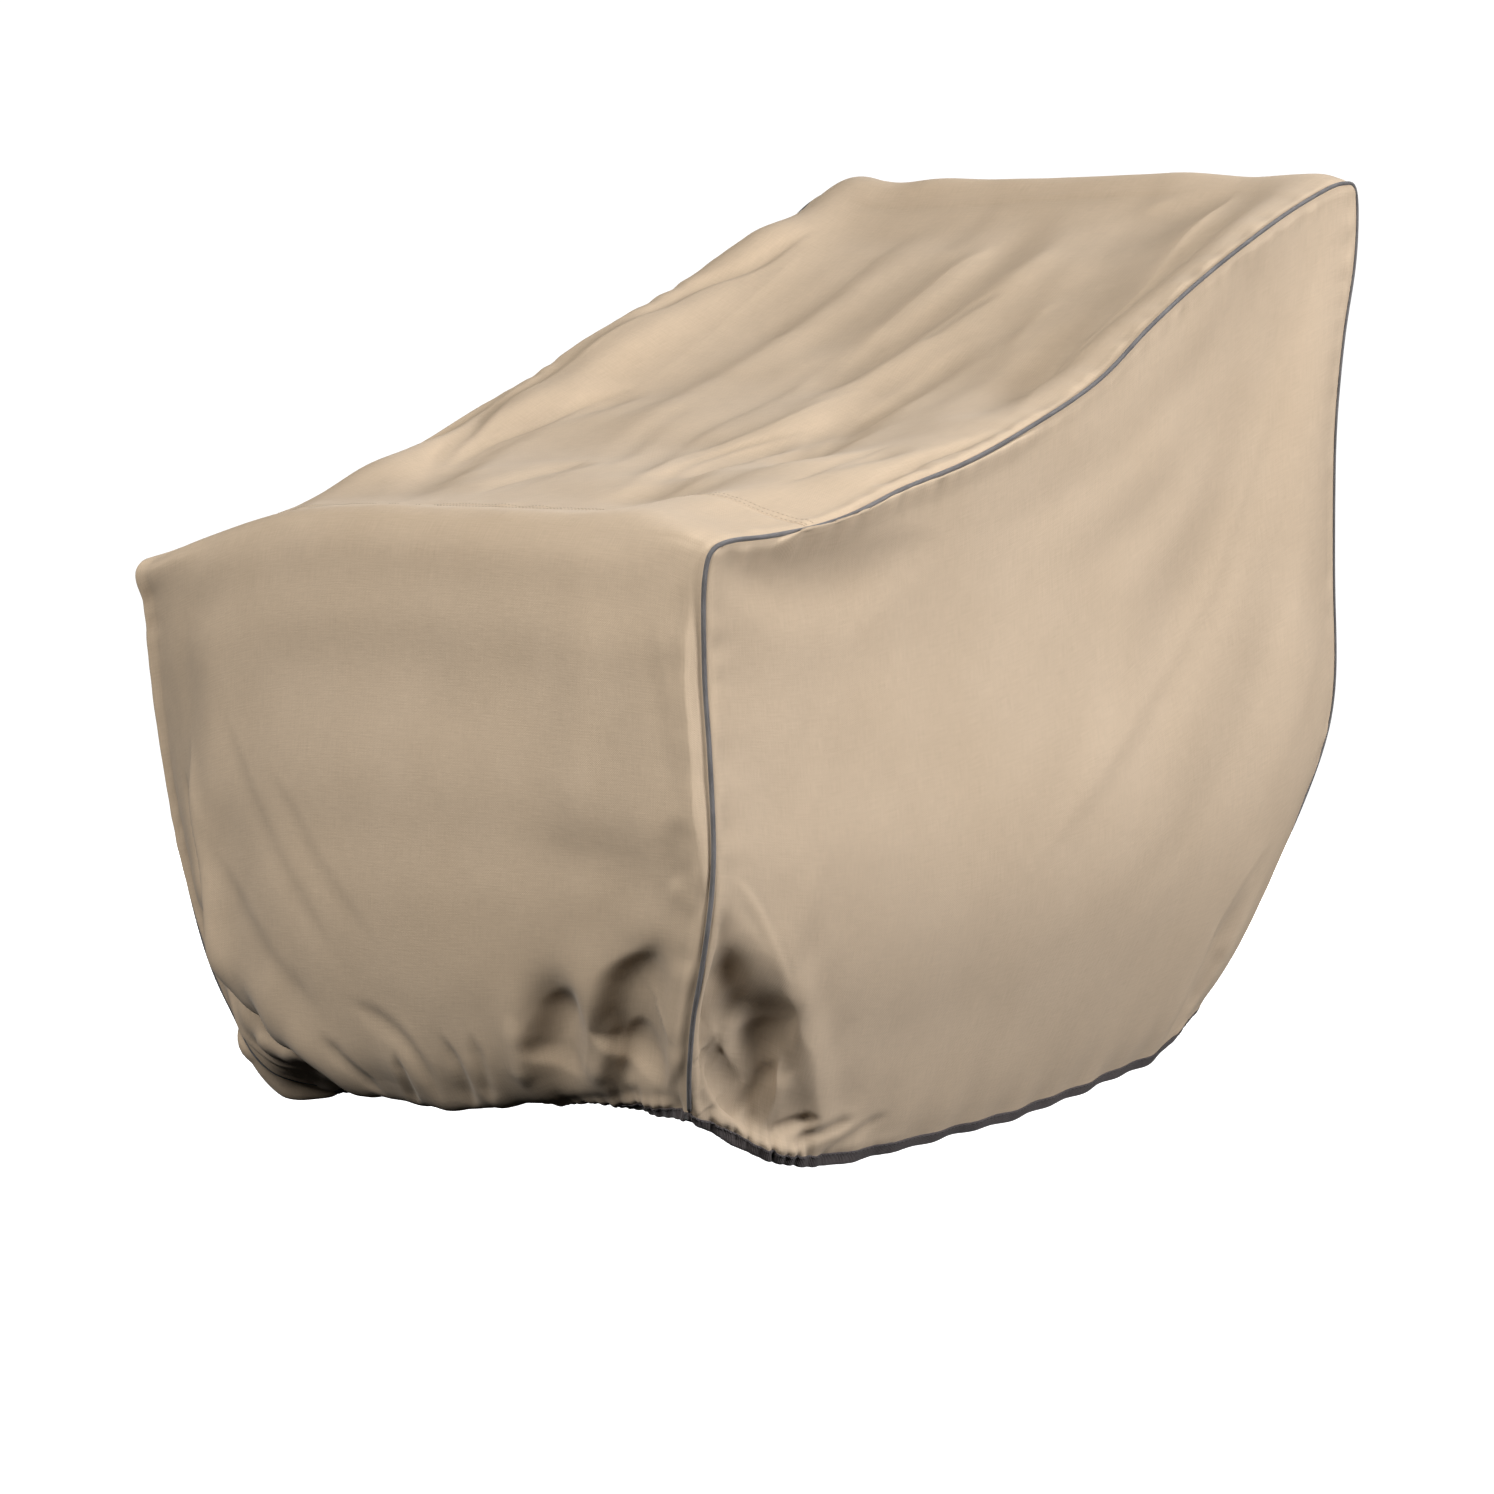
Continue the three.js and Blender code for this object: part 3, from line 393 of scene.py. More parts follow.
def cord_middle(node):
    """The middle of a piping solid, one point for each of its rings, from its front end"""
    shell = merged_copy(node)

    def size_and_place(skin):
        return len(skin), min(v.co.y for f in skin for v in f.verts)

    cap = min(skins_of(shell.faces, turn=75), key=size_and_place)
    ring = {v for f in cap for v in f.verts}
    seen = set(ring)
    middle = []
    while ring:
        # A set has no order of its own, so the points are sorted, and each run adds alike
        middle.append(np.sort([v.co for v in ring], axis=0).mean(axis=0))
        ring = {e.other_vert(v) for v in ring for e in v.link_edges} - seen
        seen |= ring
    shell.free()
    return np.array(middle)


def evenly(points, step):
    """Points along a smooth line through the given ones, a step apart"""
    count = len(points)
    fine = smooth_weights(count, np.linspace(0, count - 1, count * 12)) @ points
    far = run_of(fine)
    return points_at(np.linspace(0, far[-1], round(far[-1] / step) + 1), far, fine)


def to_the_cord(line):
    """How far each point of a sewn edge still is from the cord between the panels"""
    apart = cords[None] - line[:, None]
    nearest = apart[np.arange(len(line)), np.argmin(np.sum(apart**2, axis=2), axis=1)]
    far = np.linalg.norm(nearest, axis=1, keepdims=True)
    pull = nearest * np.clip(1 - CORD_CLEAR / far, 0, None) * (far < CORD_REACH)
    for _ in range(2):
        pull[1:-1] = (pull[:-2] + 2 * pull[1:-1] + pull[2:]) / 4
    return pull


def rolled(points, edge, rolls):
    """The points with the cloth rolled up beside a sewn edge, out from the panel and over
    the piping, by the millimetres given at shares of the edge's length, and with its raw
    edge drawn in to the cord"""
    line, far = sewn_edge(points, edge)
    run = run_of(line)
    toward = -np.gradient(points, axis=0 if edge == "top" else 1)
    if edge == "right":
        toward = -toward
    toward /= np.linalg.norm(toward, axis=2, keepdims=True)
    shares, *sizes = zip(*(row + (ROLL_AT,) * (4 - len(row)) for row in rolls))
    outward, over, reach = (
        beside(np.interp(run / run[-1], shares, size) * MM, edge) for size in sizes
    )
    swell = np.exp(-(((far - reach) / (0.65 * reach)) ** 2)) * eased(far / ROLL_STARTS)
    moved = points + normals_of(points) * (outward * swell)[:, :, None]
    moved = moved + toward * (over * swell)[:, :, None]
    return moved + beside(to_the_cord(line), edge) * np.exp(-((far / EDGE_GIVES) ** 2))[:, :, None]


def hung_panel(node, down, across, creases, gathers, rolls, seed):
    """A panel's outer points with its creases, gathers, rolls, puckers and faint crumples"""
    coarse = panel_points(node)
    down_at, across_at = threads_at(down), threads_at(across)
    rows, columns = coarse.shape[:2]
    points = np.einsum(
        "ir,rcx,jc->ijx", smooth_weights(rows, down_at), coarse, smooth_weights(columns, across_at)
    )
    seam, above = far_from_seams(points)
    lift = crease_lift(points, down_at, across_at, creases)
    lift *= 0.35 + 0.65 * eased(above / HEM_HOLDS)
    lift += crumple_lift(points, seed)
    lift += pucker_lift(points, seed + 1)
    lift += gather_lift(points, gathers, seed + 2)
    lift *= eased(seam / SEAM_HOLDS)
    points = points + normals_of(points) * lift[:, :, None]
    for edge, sizes in rolls.items():
        points = rolled(points, edge, sizes)
    return points, lift


def made_of(name, shape):
    """A new object in the scene with the shape of a bmesh"""
    mesh = bpy.data.meshes.new(name)
    shape.to_mesh(mesh)
    shape.free()
    piece = bpy.data.objects.new(name, mesh)
    bpy.context.scene.collection.objects.link(piece)
    return piece


def sheet_of(name, points, sunk, thick):
    """A closed sheet of cloth with its outer face on the points and a coarser inner face"""
    rows, columns = points.shape[:2]
    out = normals_of(points)
    along = np.linalg.norm(np.diff(points, axis=1), axis=2).mean(axis=0)
    down = np.linalg.norm(np.diff(points, axis=0), axis=2).mean(axis=1)
    u = np.concatenate([[0], np.cumsum(along)])
    v = np.concatenate([[0], np.cumsum(down)])
    seam, above = far_from_seams(points)
    # A crest stands above the mean of its surroundings and a trough below it. Crests are rubbed
    # paler, and troughs are coloured darker as painted shade
    round_about = sum(np.roll(points, step, axis) for step in (-4, 4) for axis in (0, 1)) / 4
    crest = np.sum((points - round_about) * out, axis=2)
    crest[:4], crest[-4:], crest[:, :4], crest[:, -4:] = 0, 0, 0, 0
    rubbed = np.exp(-seam / WEAR_AND_TROUGH_SHADE["seam"]) * 0.6 + np.exp(-above / WEAR_AND_TROUGH_SHADE["hem"]) * 0.4
    # Real wear near the seams, the hem and on crests; below zero in the troughs, which is painted shade
    rubbed = rubbed + np.clip(crest / WEAR_AND_TROUGH_SHADE["crest"], -1, 1)
    # Painted shade: the deeper the creases sink the cloth, the darker the material colours it
    fold_shade_share = np.clip(-sunk / FOLD_SHADE_DEPTH, 0, 1)
    cloth = bmesh.new()
    weave = cloth.loops.layers.uv.new("weave")
    wear_and_trough_shade = cloth.verts.layers.float.new("wear_and_trough_shade")
    painted_fold_shade = cloth.verts.layers.float.new("painted_fold_shade")
    for step, depth in ((1, 0), (2, thick)):
        face_rows, face_columns = (rows - 1) // step, (columns - 1) // step
        grid = bmesh.ops.create_grid(cloth, x_segments=face_columns, y_segments=face_rows, size=0.5)
        places = {}
        for vert in grid["verts"]:
            column = round((vert.co.x + 0.5) * face_columns) * step
            row = round((0.5 - vert.co.y) * face_rows) * step
            places[vert] = (row, column)
            vert[wear_and_trough_shade] = rubbed[row, column]
            vert[painted_fold_shade] = fold_shade_share[row, column]
        for face in {face for vert in grid["verts"] for face in vert.link_faces}:
            face.smooth = True
            for loop in face.loops:
                row, column = places[loop.vert]
                loop[weave].uv = (u[column], -v[row])
        for vert, (row, column) in places.items():
            vert.co = points[row, column] - out[row, column] * depth
    bmesh.ops.bridge_loops(cloth, edges=[e for e in cloth.edges if e.is_boundary])
    bmesh.ops.recalc_face_normals(cloth, faces=cloth.faces)
    return made_of(name, cloth)


def joined(material, node, sockets):
    """A material's node with its sockets set to values or joined to other sockets"""
    for name, value in sockets.items():
        if isinstance(value, bpy.types.NodeSocket):
            material.node_tree.links.new(value, node.inputs[name])
        else:
            node.inputs[name].default_value = value
    return node


def wired(material, kind, sockets=None, **settings):
    """A new node of a material, with its settings and its sockets"""
    node = material.node_tree.nodes.new(kind)
    for name, value in settings.items():
        setattr(node, name, value)
    return joined(material, node, sockets or {})


def worked_out(material, kind, first, second=0.0):
    """The result of a sum on two values of a material"""
    return wired(material, "ShaderNodeMath", {0: first, 1: second}, operation=kind).outputs["Value"]


def spread(material, value, old, new):
    """A value of a material moved from one range to another"""
    ranges = {"From Min": old[0], "From Max": old[1], "To Min": new[0], "To Max": new[1]}
    return wired(material, "ShaderNodeMapRange", {"Value": value, **ranges}).outputs["Result"]


def noise_of(material, vector, scale, detail, rough=0.5):
    """Cloudy noise on a material's coordinates"""
    sockets = {"Vector": vector, "Scale": scale, "Detail": detail, "Roughness": rough}
    return wired(material, "ShaderNodeTexNoise", sockets).outputs["Fac"]


def toned(material, value, dark, light, start=0, end=1):
    """A colour between two others, by a value that runs from start to end"""
    ramp = wired(material, "ShaderNodeValToRGB", {"Fac": value})
    for stop, at, colour in zip(ramp.color_ramp.elements, (start, end), (dark, light)):
        stop.position = at
        stop.color = colour
    return ramp.outputs["Color"]


def bumped(material, **sockets):
    """The surface's direction after a height has raised it"""
    return wired(material, "ShaderNodeBump", sockets).outputs["Normal"]


def new_material(name, sockets):
    """A new material and its shader, the shader's sockets set"""
    material = bpy.data.materials.new(name)
    material.use_nodes = True
    return material, joined(material, material.node_tree.nodes["Principled BSDF"], sockets)


def canvas_material():
    """Tan canvas: a plain weave of slightly uneven yarns with a soft sheen, a little cloudy
    from dust, paler where seams and fold crests have been rubbed, and with shade painted
    darker into troughs and deep folds"""
    sheen = {"Sheen Weight": 0.16, "Sheen Roughness": 0.5, "Sheen Tint": (1, 0.96, 0.9, 1)}
    material, shader = new_material("tan_canvas", {"Specular IOR Level": 0.22, **sheen})
    where = wired(material, "ShaderNodeTexCoord").outputs["Object"]
    cloth = wired(material, "ShaderNodeUVMap", uv_map="weave").outputs["UV"]

    wavy = noise_of(material, cloth, scale=90, detail=2)
    wander = worked_out(material, "MULTIPLY", wavy, 0.0012)
    parts = wired(material, "ShaderNodeSeparateXYZ", {"Vector": cloth})
    crossing = 1.0
    for way in ("X", "Y"):
        at = worked_out(material, "ADD", parts.outputs[way], wander)
        turns = worked_out(material, "MULTIPLY", at, math.pi / YARN_PITCH)
        crossing = worked_out(material, "MULTIPLY", worked_out(material, "SINE", turns), crossing)
    yarns = 0.0
    for scale in ((900, 55, 1), (55, 900, 1)):
        drawn = wired(material, "ShaderNodeMapping", {"Vector": cloth, "Scale": scale})
        slubs = noise_of(material, drawn.outputs["Vector"], scale=1, detail=2)
        yarns = worked_out(material, "ADD", slubs, yarns)

    clouds = noise_of(material, where, scale=5, detail=6, rough=0.62)
    colour = toned(material, clouds, CANVAS_DARK, CANVAS_LIGHT, start=0.32, end=0.68)
    grain = worked_out(material, "ADD", yarns, worked_out(material, "MULTIPLY", crossing, 0.25))
    # Wear pales the seams, the hem and the crests, and the troughs come out darker as painted shade
    wear_and_trough_shade = wired(material, "ShaderNodeAttribute", attribute_name="wear_and_trough_shade").outputs["Fac"]
    patchy = noise_of(material, where, scale=38, detail=4)
    rubbed = worked_out(material, "MULTIPLY", wear_and_trough_shade, patchy)
    # Painted shade, darkest where the creases sink the cloth deepest
    painted_fold_shade = wired(material, "ShaderNodeAttribute", attribute_name="painted_fold_shade").outputs["Fac"]
    shades = (
        spread(material, grain, (0.45, 1.55), (0.9, 1.1)),
        spread(material, rubbed, (-0.4, 0.4), (0.93, 1.06)),
        spread(material, painted_fold_shade, (0, 1), (1, 0.72)),
    )
    for shade in shades:
        mixed = wired(material, "ShaderNodeVectorMath", {0: colour, 1: shade}, operation="MULTIPLY")
        colour = mixed.outputs["Vector"]

    relief = worked_out(material, "ADD", worked_out(material, "MULTIPLY", crossing, 0.35), yarns)
    woven = bumped(material, Height=relief, Strength=0.5, Distance=0.00022)
    dents = noise_of(material, where, scale=60, detail=5, rough=0.55)
    dented = bumped(material, Height=dents, Strength=0.35, Distance=0.0012, Normal=woven)
    rough = spread(material, yarns, (0.6, 1.4), (0.88, 0.74))
    joined(material, shader, {"Base Color": colour, "Roughness": rough, "Normal": dented})
    return material


middles = [cord_middle(f"piping_{side}") for side in ("right", "left")]
cords = np.concatenate([evenly(middle, CORD_STEP) for middle in middles])
canvas = canvas_material()
front_points, front_sunk = hung_panel(
    "front_panel", FRONT_DOWN, FRONT_ACROSS, FRONT_CREASES, FRONT_GATHERS, FRONT_ROLLS, seed=11
)
front = sheet_of("front_cloth", front_points, front_sunk, CANVAS_THICK)
front.data.materials.append(canvas)
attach(front, "root")
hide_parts("front_panel")

# Centre panel: one long length of the same canvas from the cross seam up the slope,
# over the top edge and down the back to the hem. It hangs slack between the two piped
# seams, so that folds run from the top corners down towards the cross seam.
CENTRE_DOWN = [8] * 28 + [3] * 15 + [7] * 3
CENTRE_ACROSS = [10] * 26
CENTRE_CREASES = [
    crease([(828, 506), (840, 461), (859, 428), (893, 402), (902, 367), (921, 337), (910, 262),
            (907, 226), (872, 192), (842, 159), (778, 116)], wide=(8, 10), high=-4.2, ends=(0.15, 0.15)),
    crease([(807, 507), (807, 470), (799, 440), (795, 402), (784, 366), (776, 335), (765, 301),
            (760, 262)], drop=(34, 60), high=-3.2),
    crease([(762, 301), (776, 281), (787, 263), (789, 239), (791, 215), (810, 196), (815, 173),
            (791, 138)], wide=(4, 6), high=-1.6),
    crease([(658, 521), (676, 503), (684, 469), (684, 433), (694, 403), (694, 373), (682, 338)],
           wide=(18, 22), high=-2),
    crease([(616, 283), (605, 243), (587, 199), (500, 122)], wide=(12, 14), high=-1.5),
    crease([(479, 497), (500, 474), (518, 450), (522, 422), (525, 395), (524, 374), (517, 351),
            (506, 330), (485, 306)], drop=(26, 55), high=-3.6, ends=(0.35, 0.35)),
    crease([(548, 372), (545, 325), (526, 266), (526, 237), (526, 214), (500, 172), (420, 105)],
           wide=(12, 18), high=-2),
    crease([(582, 165), (586, 123), (587, 89), (577, 55)], wide=(6, 7), high=-1),
    crease([(395, 309), (406, 288), (418, 260), (422, 232), (438, 210), (455, 190), (461, 165),
            (437, 136), (402, 98), (373, 59)], drop=(13, 36), high=-1.9),
    crease([(372, 234), (389, 219), (412, 204), (428, 187), (430, 163), (401, 126), (369, 95)],
           wide=(4, 5), high=-1.5),
    crease([(169, 187), (181, 171), (176, 143), (156, 107), (152, 83), (154, 58)],
           wide=(4, 5), high=-1.4),
    crease([(320, 372), (347, 362), (364, 349), (368, 333), (369, 314), (370, 287), (360, 255),
            (328, 207), (250, 150)], drop=(15, 42), high=-2.8),
    crease([(374, 418), (394, 400), (406, 382), (413, 362), (436, 351)], wide=(7, 9), high=-1.4),
    crease([(54, 211), (65, 199), (73, 180), (78, 157), (68, 128), (64, 109), (65, 90)],
           wide=(5, 7), high=-3.6),
    crease([(181, 545), (188, 509), (190, 481), (182, 447), (169, 410), (163, 364), (159, 341),
            (150, 315), (128, 288)], drop=(38, 60), high=-6.5, ends=(0.15, 0.6)),
    crease([(181, 545), (188, 509), (190, 481), (182, 447), (169, 410), (163, 364), (159, 341),
            (150, 315), (112, 269), (70, 222)], wide=(30, 14), high=5.5, crisp=1.4, ends=(0.15, 0.4)),
    crease([(269, 408), (285, 393), (278, 367), (261, 340)], wide=(9, 9), high=1),
    crease([(935, 550), (935, 500), (938, 440), (942, 360), (942, 280), (938, 210)],
           wide=(70, 15), high=17, ends=(0.2, 0.35)),
    crease([(885, 577), (800, 577), (700, 577), (600, 577)], wide=(24, 24), high=5, ends=(0.3, 0.5)),
    crease([(860, 577), (600, 577), (350, 577), (80, 577)], wide=(26, 26), high=5),
    crease([(560, 560), (580, 500), (600, 440), (605, 380), (590, 330)], wide=(22, 24), high=-2),
    crease([(330, 570), (320, 520), (300, 470), (280, 440)], wide=(20, 24), high=-2),
    crease([(120, 640), (170, 720), (200, 800), (210, 900)], wide=(34, 30), high=-4),
    crease([(880, 640), (820, 720), (790, 810), (775, 920)], wide=(32, 36), high=-4),
    crease([(470, 680), (490, 780), (480, 880), (500, 960)], wide=(38, 38), high=-4),
    crease([(330, 720), (345, 820), (335, 930)], wide=(26, 30), high=3),
    crease([(650, 700), (640, 800), (655, 900)], wide=(30, 26), high=3),
]
CENTRE_GATHERS = [{"from": 0.03, "to": 0.97, "deep": 2.4, "pitch": 12, "tall": 30}]
CENTRE_ROLLS = {
    "left": [(0, 1, 0.5), (0.04, 3, 2), (0.18, 1.6, 1), (0.22, 0.5, 0.3), (1, 0.5, 0.3)],
    "right": [(0, 3, 1), (0.04, 7, 3), (0.38, 7, 3), (0.47, 1.5, 1), (1, 1.2, 1)],
}

centre_points, centre_sunk = hung_panel(
    "centre_panel", CENTRE_DOWN, CENTRE_ACROSS, CENTRE_CREASES, CENTRE_GATHERS, CENTRE_ROLLS,
    seed=23,
)
centre = sheet_of("centre_cloth", centre_points, centre_sunk, CANVAS_THICK)
centre.data.materials.append(canvas)
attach(centre, "root")
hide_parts("centre_panel")

# Side panels: two matching pieces of canvas, each cut to the cover's outline from the side
# and sewn all round into the piped seams. Long soft folds fan down from the top
# corner, and the elastic pinches the front lower corner into a pocket.
SIDE_DOWN = [12] * 18
SIDE_ACROSS = [10] * 34
SIDE_CREASES = {
    "right": [
        crease([(786, 30), (772, 90), (739, 132), (703, 159), (657, 176), (613, 179), (557, 174),
                (505, 177), (450, 170), (396, 160)], wide=(17, 21), high=-1.8),
        crease([(808, 60), (801, 145), (784, 201), (755, 241), (702, 271), (641, 284), (575, 279),
                (509, 276)], wide=(26, 21), high=-2.5),
        crease([(868, 71), (866, 131), (862, 184), (856, 231), (836, 273), (812, 307), (791, 337),
                (763, 373), (728, 407), (666, 443), (609, 465), (558, 491), (515, 521), (477, 550),
                (440, 586)], wide=(12, 29), high=2),
        crease([(862, 427), (821, 476), (773, 523), (735, 567), (695, 600), (649, 632), (607, 657)],
               wide=(21, 23), high=-1.3),
        crease([(920, 300), (925, 400), (920, 485), (872, 542), (838, 584), (807, 629)],
               wide=(16, 21), high=1.1),
        crease([(865, 690), (824, 712), (812, 736), (800, 765), (792, 805)], wide=(16, 5), high=-1.2),
        crease([(850, 800), (842, 850), (840, 900)], wide=(10, 8), high=-2.1),
        crease([(158, 288), (222, 354), (255, 418), (278, 490)], wide=(21, 21), high=-0.8),
        crease([(258, 288), (285, 369), (315, 448), (347, 530)], wide=(18, 21), high=-0.7),
        crease([(33, 74), (81, 117), (117, 132), (208, 139), (269, 137), (327, 147), (390, 158)],
               wide=(16, 20), high=-3.7),
        crease([(13, 545), (61, 578), (84, 598), (112, 632), (151, 674), (220, 729), (247, 792),
                (272, 875)], drop=(58, 34), high=-12, hollow=1.2, ends=(0.4, 0.15)),
        crease([(45, 520), (73, 549), (93, 583), (112, 620), (143, 660)], wide=(4, 4), high=1.2),
        crease([(24, 560), (40, 610), (56, 650), (70, 690)], wide=(12, 12), high=-2.5),
        crease([(79, 670), (78, 752), (64, 850)], wide=(10, 10), high=-2.5),
        crease([(30, 790), (64, 755), (109, 722), (150, 690)], wide=(9, 8), high=2),
        crease([(88, 925), (108, 859), (131, 804), (160, 755)], wide=(8, 7), high=-3.5),
        crease([(120, 930), (148, 870), (185, 810), (215, 770)], wide=(6, 6), high=2),
        crease([(266, 850), (219, 876), (150, 925)], wide=(5, 5), high=-4),
        crease([(318, 860), (272, 880), (215, 930)], wide=(5, 6), high=-3.5),
        crease([(365, 870), (320, 895), (275, 945)], wide=(6, 6), high=-2),
    ],
    "left": [
        crease([(215, 50), (235, 150), (280, 230), (370, 290), (480, 330)], wide=(18, 16), high=-5),
        crease([(150, 90), (150, 220), (200, 340), (300, 440), (420, 530)], wide=(20, 10), high=5),
        crease([(110, 320), (170, 470), (270, 580), (380, 650)], wide=(18, 20), high=-4.5),
        crease([(600, 180), (700, 150), (830, 140), (940, 110)], wide=(16, 14), high=-4.5),
        crease([(850, 300), (790, 400), (740, 500)], wide=(16, 16), high=-2.4),
        crease([(730, 300), (690, 420), (650, 540)], wide=(16, 16), high=-2.2),
        crease([(955, 540), (905, 610), (850, 680), (790, 760), (745, 870)],
               wide=(22, 7), high=-9, crisp=2.4),
        crease([(965, 780), (910, 740), (860, 700)], wide=(9, 9), high=5),
        crease([(915, 930), (885, 850), (850, 780)], wide=(7, 8), high=-5),
        crease([(800, 925), (745, 880), (690, 860)], wide=(6, 6), high=-3),
        crease([(90, 780), (130, 840), (165, 930)], wide=(9, 12), high=-4),
    ],
}
SIDE_GATHERS = {
    "right": [
        {"from": 0.015, "to": 0.17, "deep": 4.4, "pitch": 9.5, "tall": 22},
        {"from": 0.17, "to": 0.32, "deep": 1.2, "pitch": 13, "tall": 14},
        {"from": 0.86, "to": 0.985, "deep": 1.6, "pitch": 12, "tall": 22},
    ],
    "left": [
        {"from": 0.015, "to": 0.14, "deep": 1.6, "pitch": 12, "tall": 22},
        {"from": 0.70, "to": 0.985, "deep": 2.1, "pitch": 10, "tall": 18},
    ],
}
SIDE_ROLLS = {
    "right": {
        "left": [
            (0, 0.6, 0.4), (0.5, 0.6, 0.4), (0.6, 2, 2), (0.7, 2, 2), (0.82, 0.9, 0.5), (1, 0.9, 0.4)
        ],
        "top": [
            (0, 0.7, 0.5), (0.075, 0.8, 0.5), (0.1, 6, 15, 10), (0.165, 6, 15, 10),
            (0.2, 3.5, 8, 7), (0.4, 2.6, 6, 7), (0.45, 0.5, 0.3), (1, 0.5, 0.3),
        ],
        "right": [(0, 0.8, 0.5), (1, 0.8, 0.5)],
    },
    "left": {
        "left": [(0, 0.8, 0.5), (1, 0.8, 0.5)],
        "top": [(0, 0.8, 0.5), (1, 0.8, 0.5)],
        "right": [
            (0, 0.8, 0.5), (0.6, 1, 0.5), (0.76, 12, 0, 22), (0.9, 19, 0, 24), (0.97, 7, 0, 16),
            (1, 0.5, 0.3),
        ],
    },
}

side_points = {}
sides = {}
for side, seed in (("right", 37), ("left", 53)):
    shaping = (SIDE_CREASES[side], SIDE_GATHERS[side], SIDE_ROLLS[side])
    side_points[side], side_sunk = hung_panel(
        f"side_{side}", SIDE_DOWN, SIDE_ACROSS, *shaping, seed=seed
    )
    sides[side] = sheet_of(f"{side}_cloth", side_points[side], side_sunk, CANVAS_THICK)
    sides[side].data.materials.append(canvas)
    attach(sides[side], "root")
    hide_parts(f"side_{side}")

# Piping: a thin cord wrapped in a bias strip of grey cloth and sewn into the two long
# seams, so that it stands proud between the panels from the front hem over to the back.
PIPING_ROUND = 0.0017
PIPING_SIDES = 14
PIPING_STEP = 0.003
PIPING_DARK = (0.045, 0.042, 0.043, 1)
PIPING_LIGHT = (0.27, 0.255, 0.252, 1)


def wrapped(name, rows, along, girth):
    """A closed band through rows of points that run along it, the last row on the first,
    with its cloth measured along it and round it"""
    band = bmesh.new()
    stations = len(rows[0])
    bmesh.ops.create_grid(band, x_segments=stations - 1, y_segments=len(rows) - 1, size=0.5)
    weave = band.loops.layers.uv.new("weave")
    places = {}
    for vert in band.verts:
        station = round((vert.co.x + 0.5) * (stations - 1))
        places[vert] = station, round((0.5 - vert.co.y) * (len(rows) - 1))
    for face in band.faces:
        face.smooth = True
        for loop in face.loops:
            station, row = places[loop.vert]
            loop[weave].uv = (along[station], girth[row])
    for vert, (station, row) in places.items():
        vert.co = rows[row][station]
    bmesh.ops.remove_doubles(band, verts=band.verts, dist=1e-6)
    bmesh.ops.holes_fill(band, edges=[e for e in band.edges if e.is_boundary])
    bmesh.ops.recalc_face_normals(band, faces=band.faces)
    return made_of(name, band)


def tube_of(name, path, radius, sides):
    """A round tube along a path, closed at its ends"""
    ahead = np.gradient(path, axis=0)
    ahead /= np.linalg.norm(ahead, axis=1, keepdims=True)
    over = [np.cross(ahead[0], (1, 0, 0))]
    for way in ahead[1:]:
        over.append(over[-1] - way * over[-1].dot(way))
    over = np.array(over)
    over /= np.linalg.norm(over, axis=1, keepdims=True)
    across = np.cross(ahead, over)
    rows = []
    girth = []
    for corner in range(sides, -1, -1):
        turn = -2 * math.pi * corner / sides
        out = over * math.cos(turn) + across * math.sin(turn)
        rows.append(path + out * radius)
        girth.append(corner / sides * 2 * math.pi * radius)
    return wrapped(name, rows, np.arange(len(path)) * PIPING_STEP, girth)


def ribbed_cloth(name, dark, light, slant, pitch, rough):
    """Closely ribbed cloth: slanting or straight ribs, worn paler on their crests in patches"""
    material, shader = new_material(name, {"Specular IOR Level": 0.4, "Sheen Weight": 0.15})
    where = wired(material, "ShaderNodeTexCoord").outputs["Object"]
    cloth = wired(material, "ShaderNodeUVMap", uv_map="weave").outputs["UV"]
    parts = wired(material, "ShaderNodeSeparateXYZ", {"Vector": cloth})
    leaning = worked_out(material, "MULTIPLY", parts.outputs["Y"], slant)
    at = worked_out(material, "ADD", parts.outputs["X"], leaning)
    turns = worked_out(material, "MULTIPLY", at, 2 * math.pi / pitch)
    ribs = spread(material, worked_out(material, "SINE", turns), (-1, 1), (0, 1))
    fuzz = noise_of(material, where, scale=900, detail=3)
    patches = noise_of(material, where, scale=45, detail=4, rough=0.6)
    height = worked_out(material, "ADD", ribs, worked_out(material, "MULTIPLY", fuzz, 0.6))
    worn = spread(material, patches, (0.3, 0.7), (0.35, 0.8))
    colour = toned(material, worked_out(material, "MULTIPLY", height, worn), dark, light)
    dull = spread(material, fuzz, (0.3, 0.7), (rough - 0.08, rough + 0.1))
    raised = bumped(material, Height=height, Strength=0.7, Distance=pitch * 0.25)
    joined(material, shader, {"Base Color": colour, "Roughness": dull, "Normal": raised})
    return material


grey_cloth = ribbed_cloth(
    "grey_bias_cloth", PIPING_DARK, PIPING_LIGHT, slant=1, pitch=0.0011, rough=0.55
)
pipings = {}
for side in ("right", "left"):
    path = evenly(cord_middle(f"piping_{side}"), PIPING_STEP)
    pipings[side] = tube_of(f"{side}_piping_cord", path, PIPING_ROUND, PIPING_SIDES)
    pipings[side].data.materials.append(grey_cloth)
    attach(pipings[side], "root")
    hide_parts(f"piping_{side}")

# Hem binding: dark woven tape folded over the raw hem of all four panels in one run,
# with the elastic inside it, and stitched down near its upper edge.
TAPE_DEEP = 0.0085
TAPE_THICK = 0.0007
TAPE_ROOM = 0.0006
TAPE_DARK = (0.035, 0.028, 0.027, 1)
TAPE_LIGHT = (0.135, 0.112, 0.108, 1)
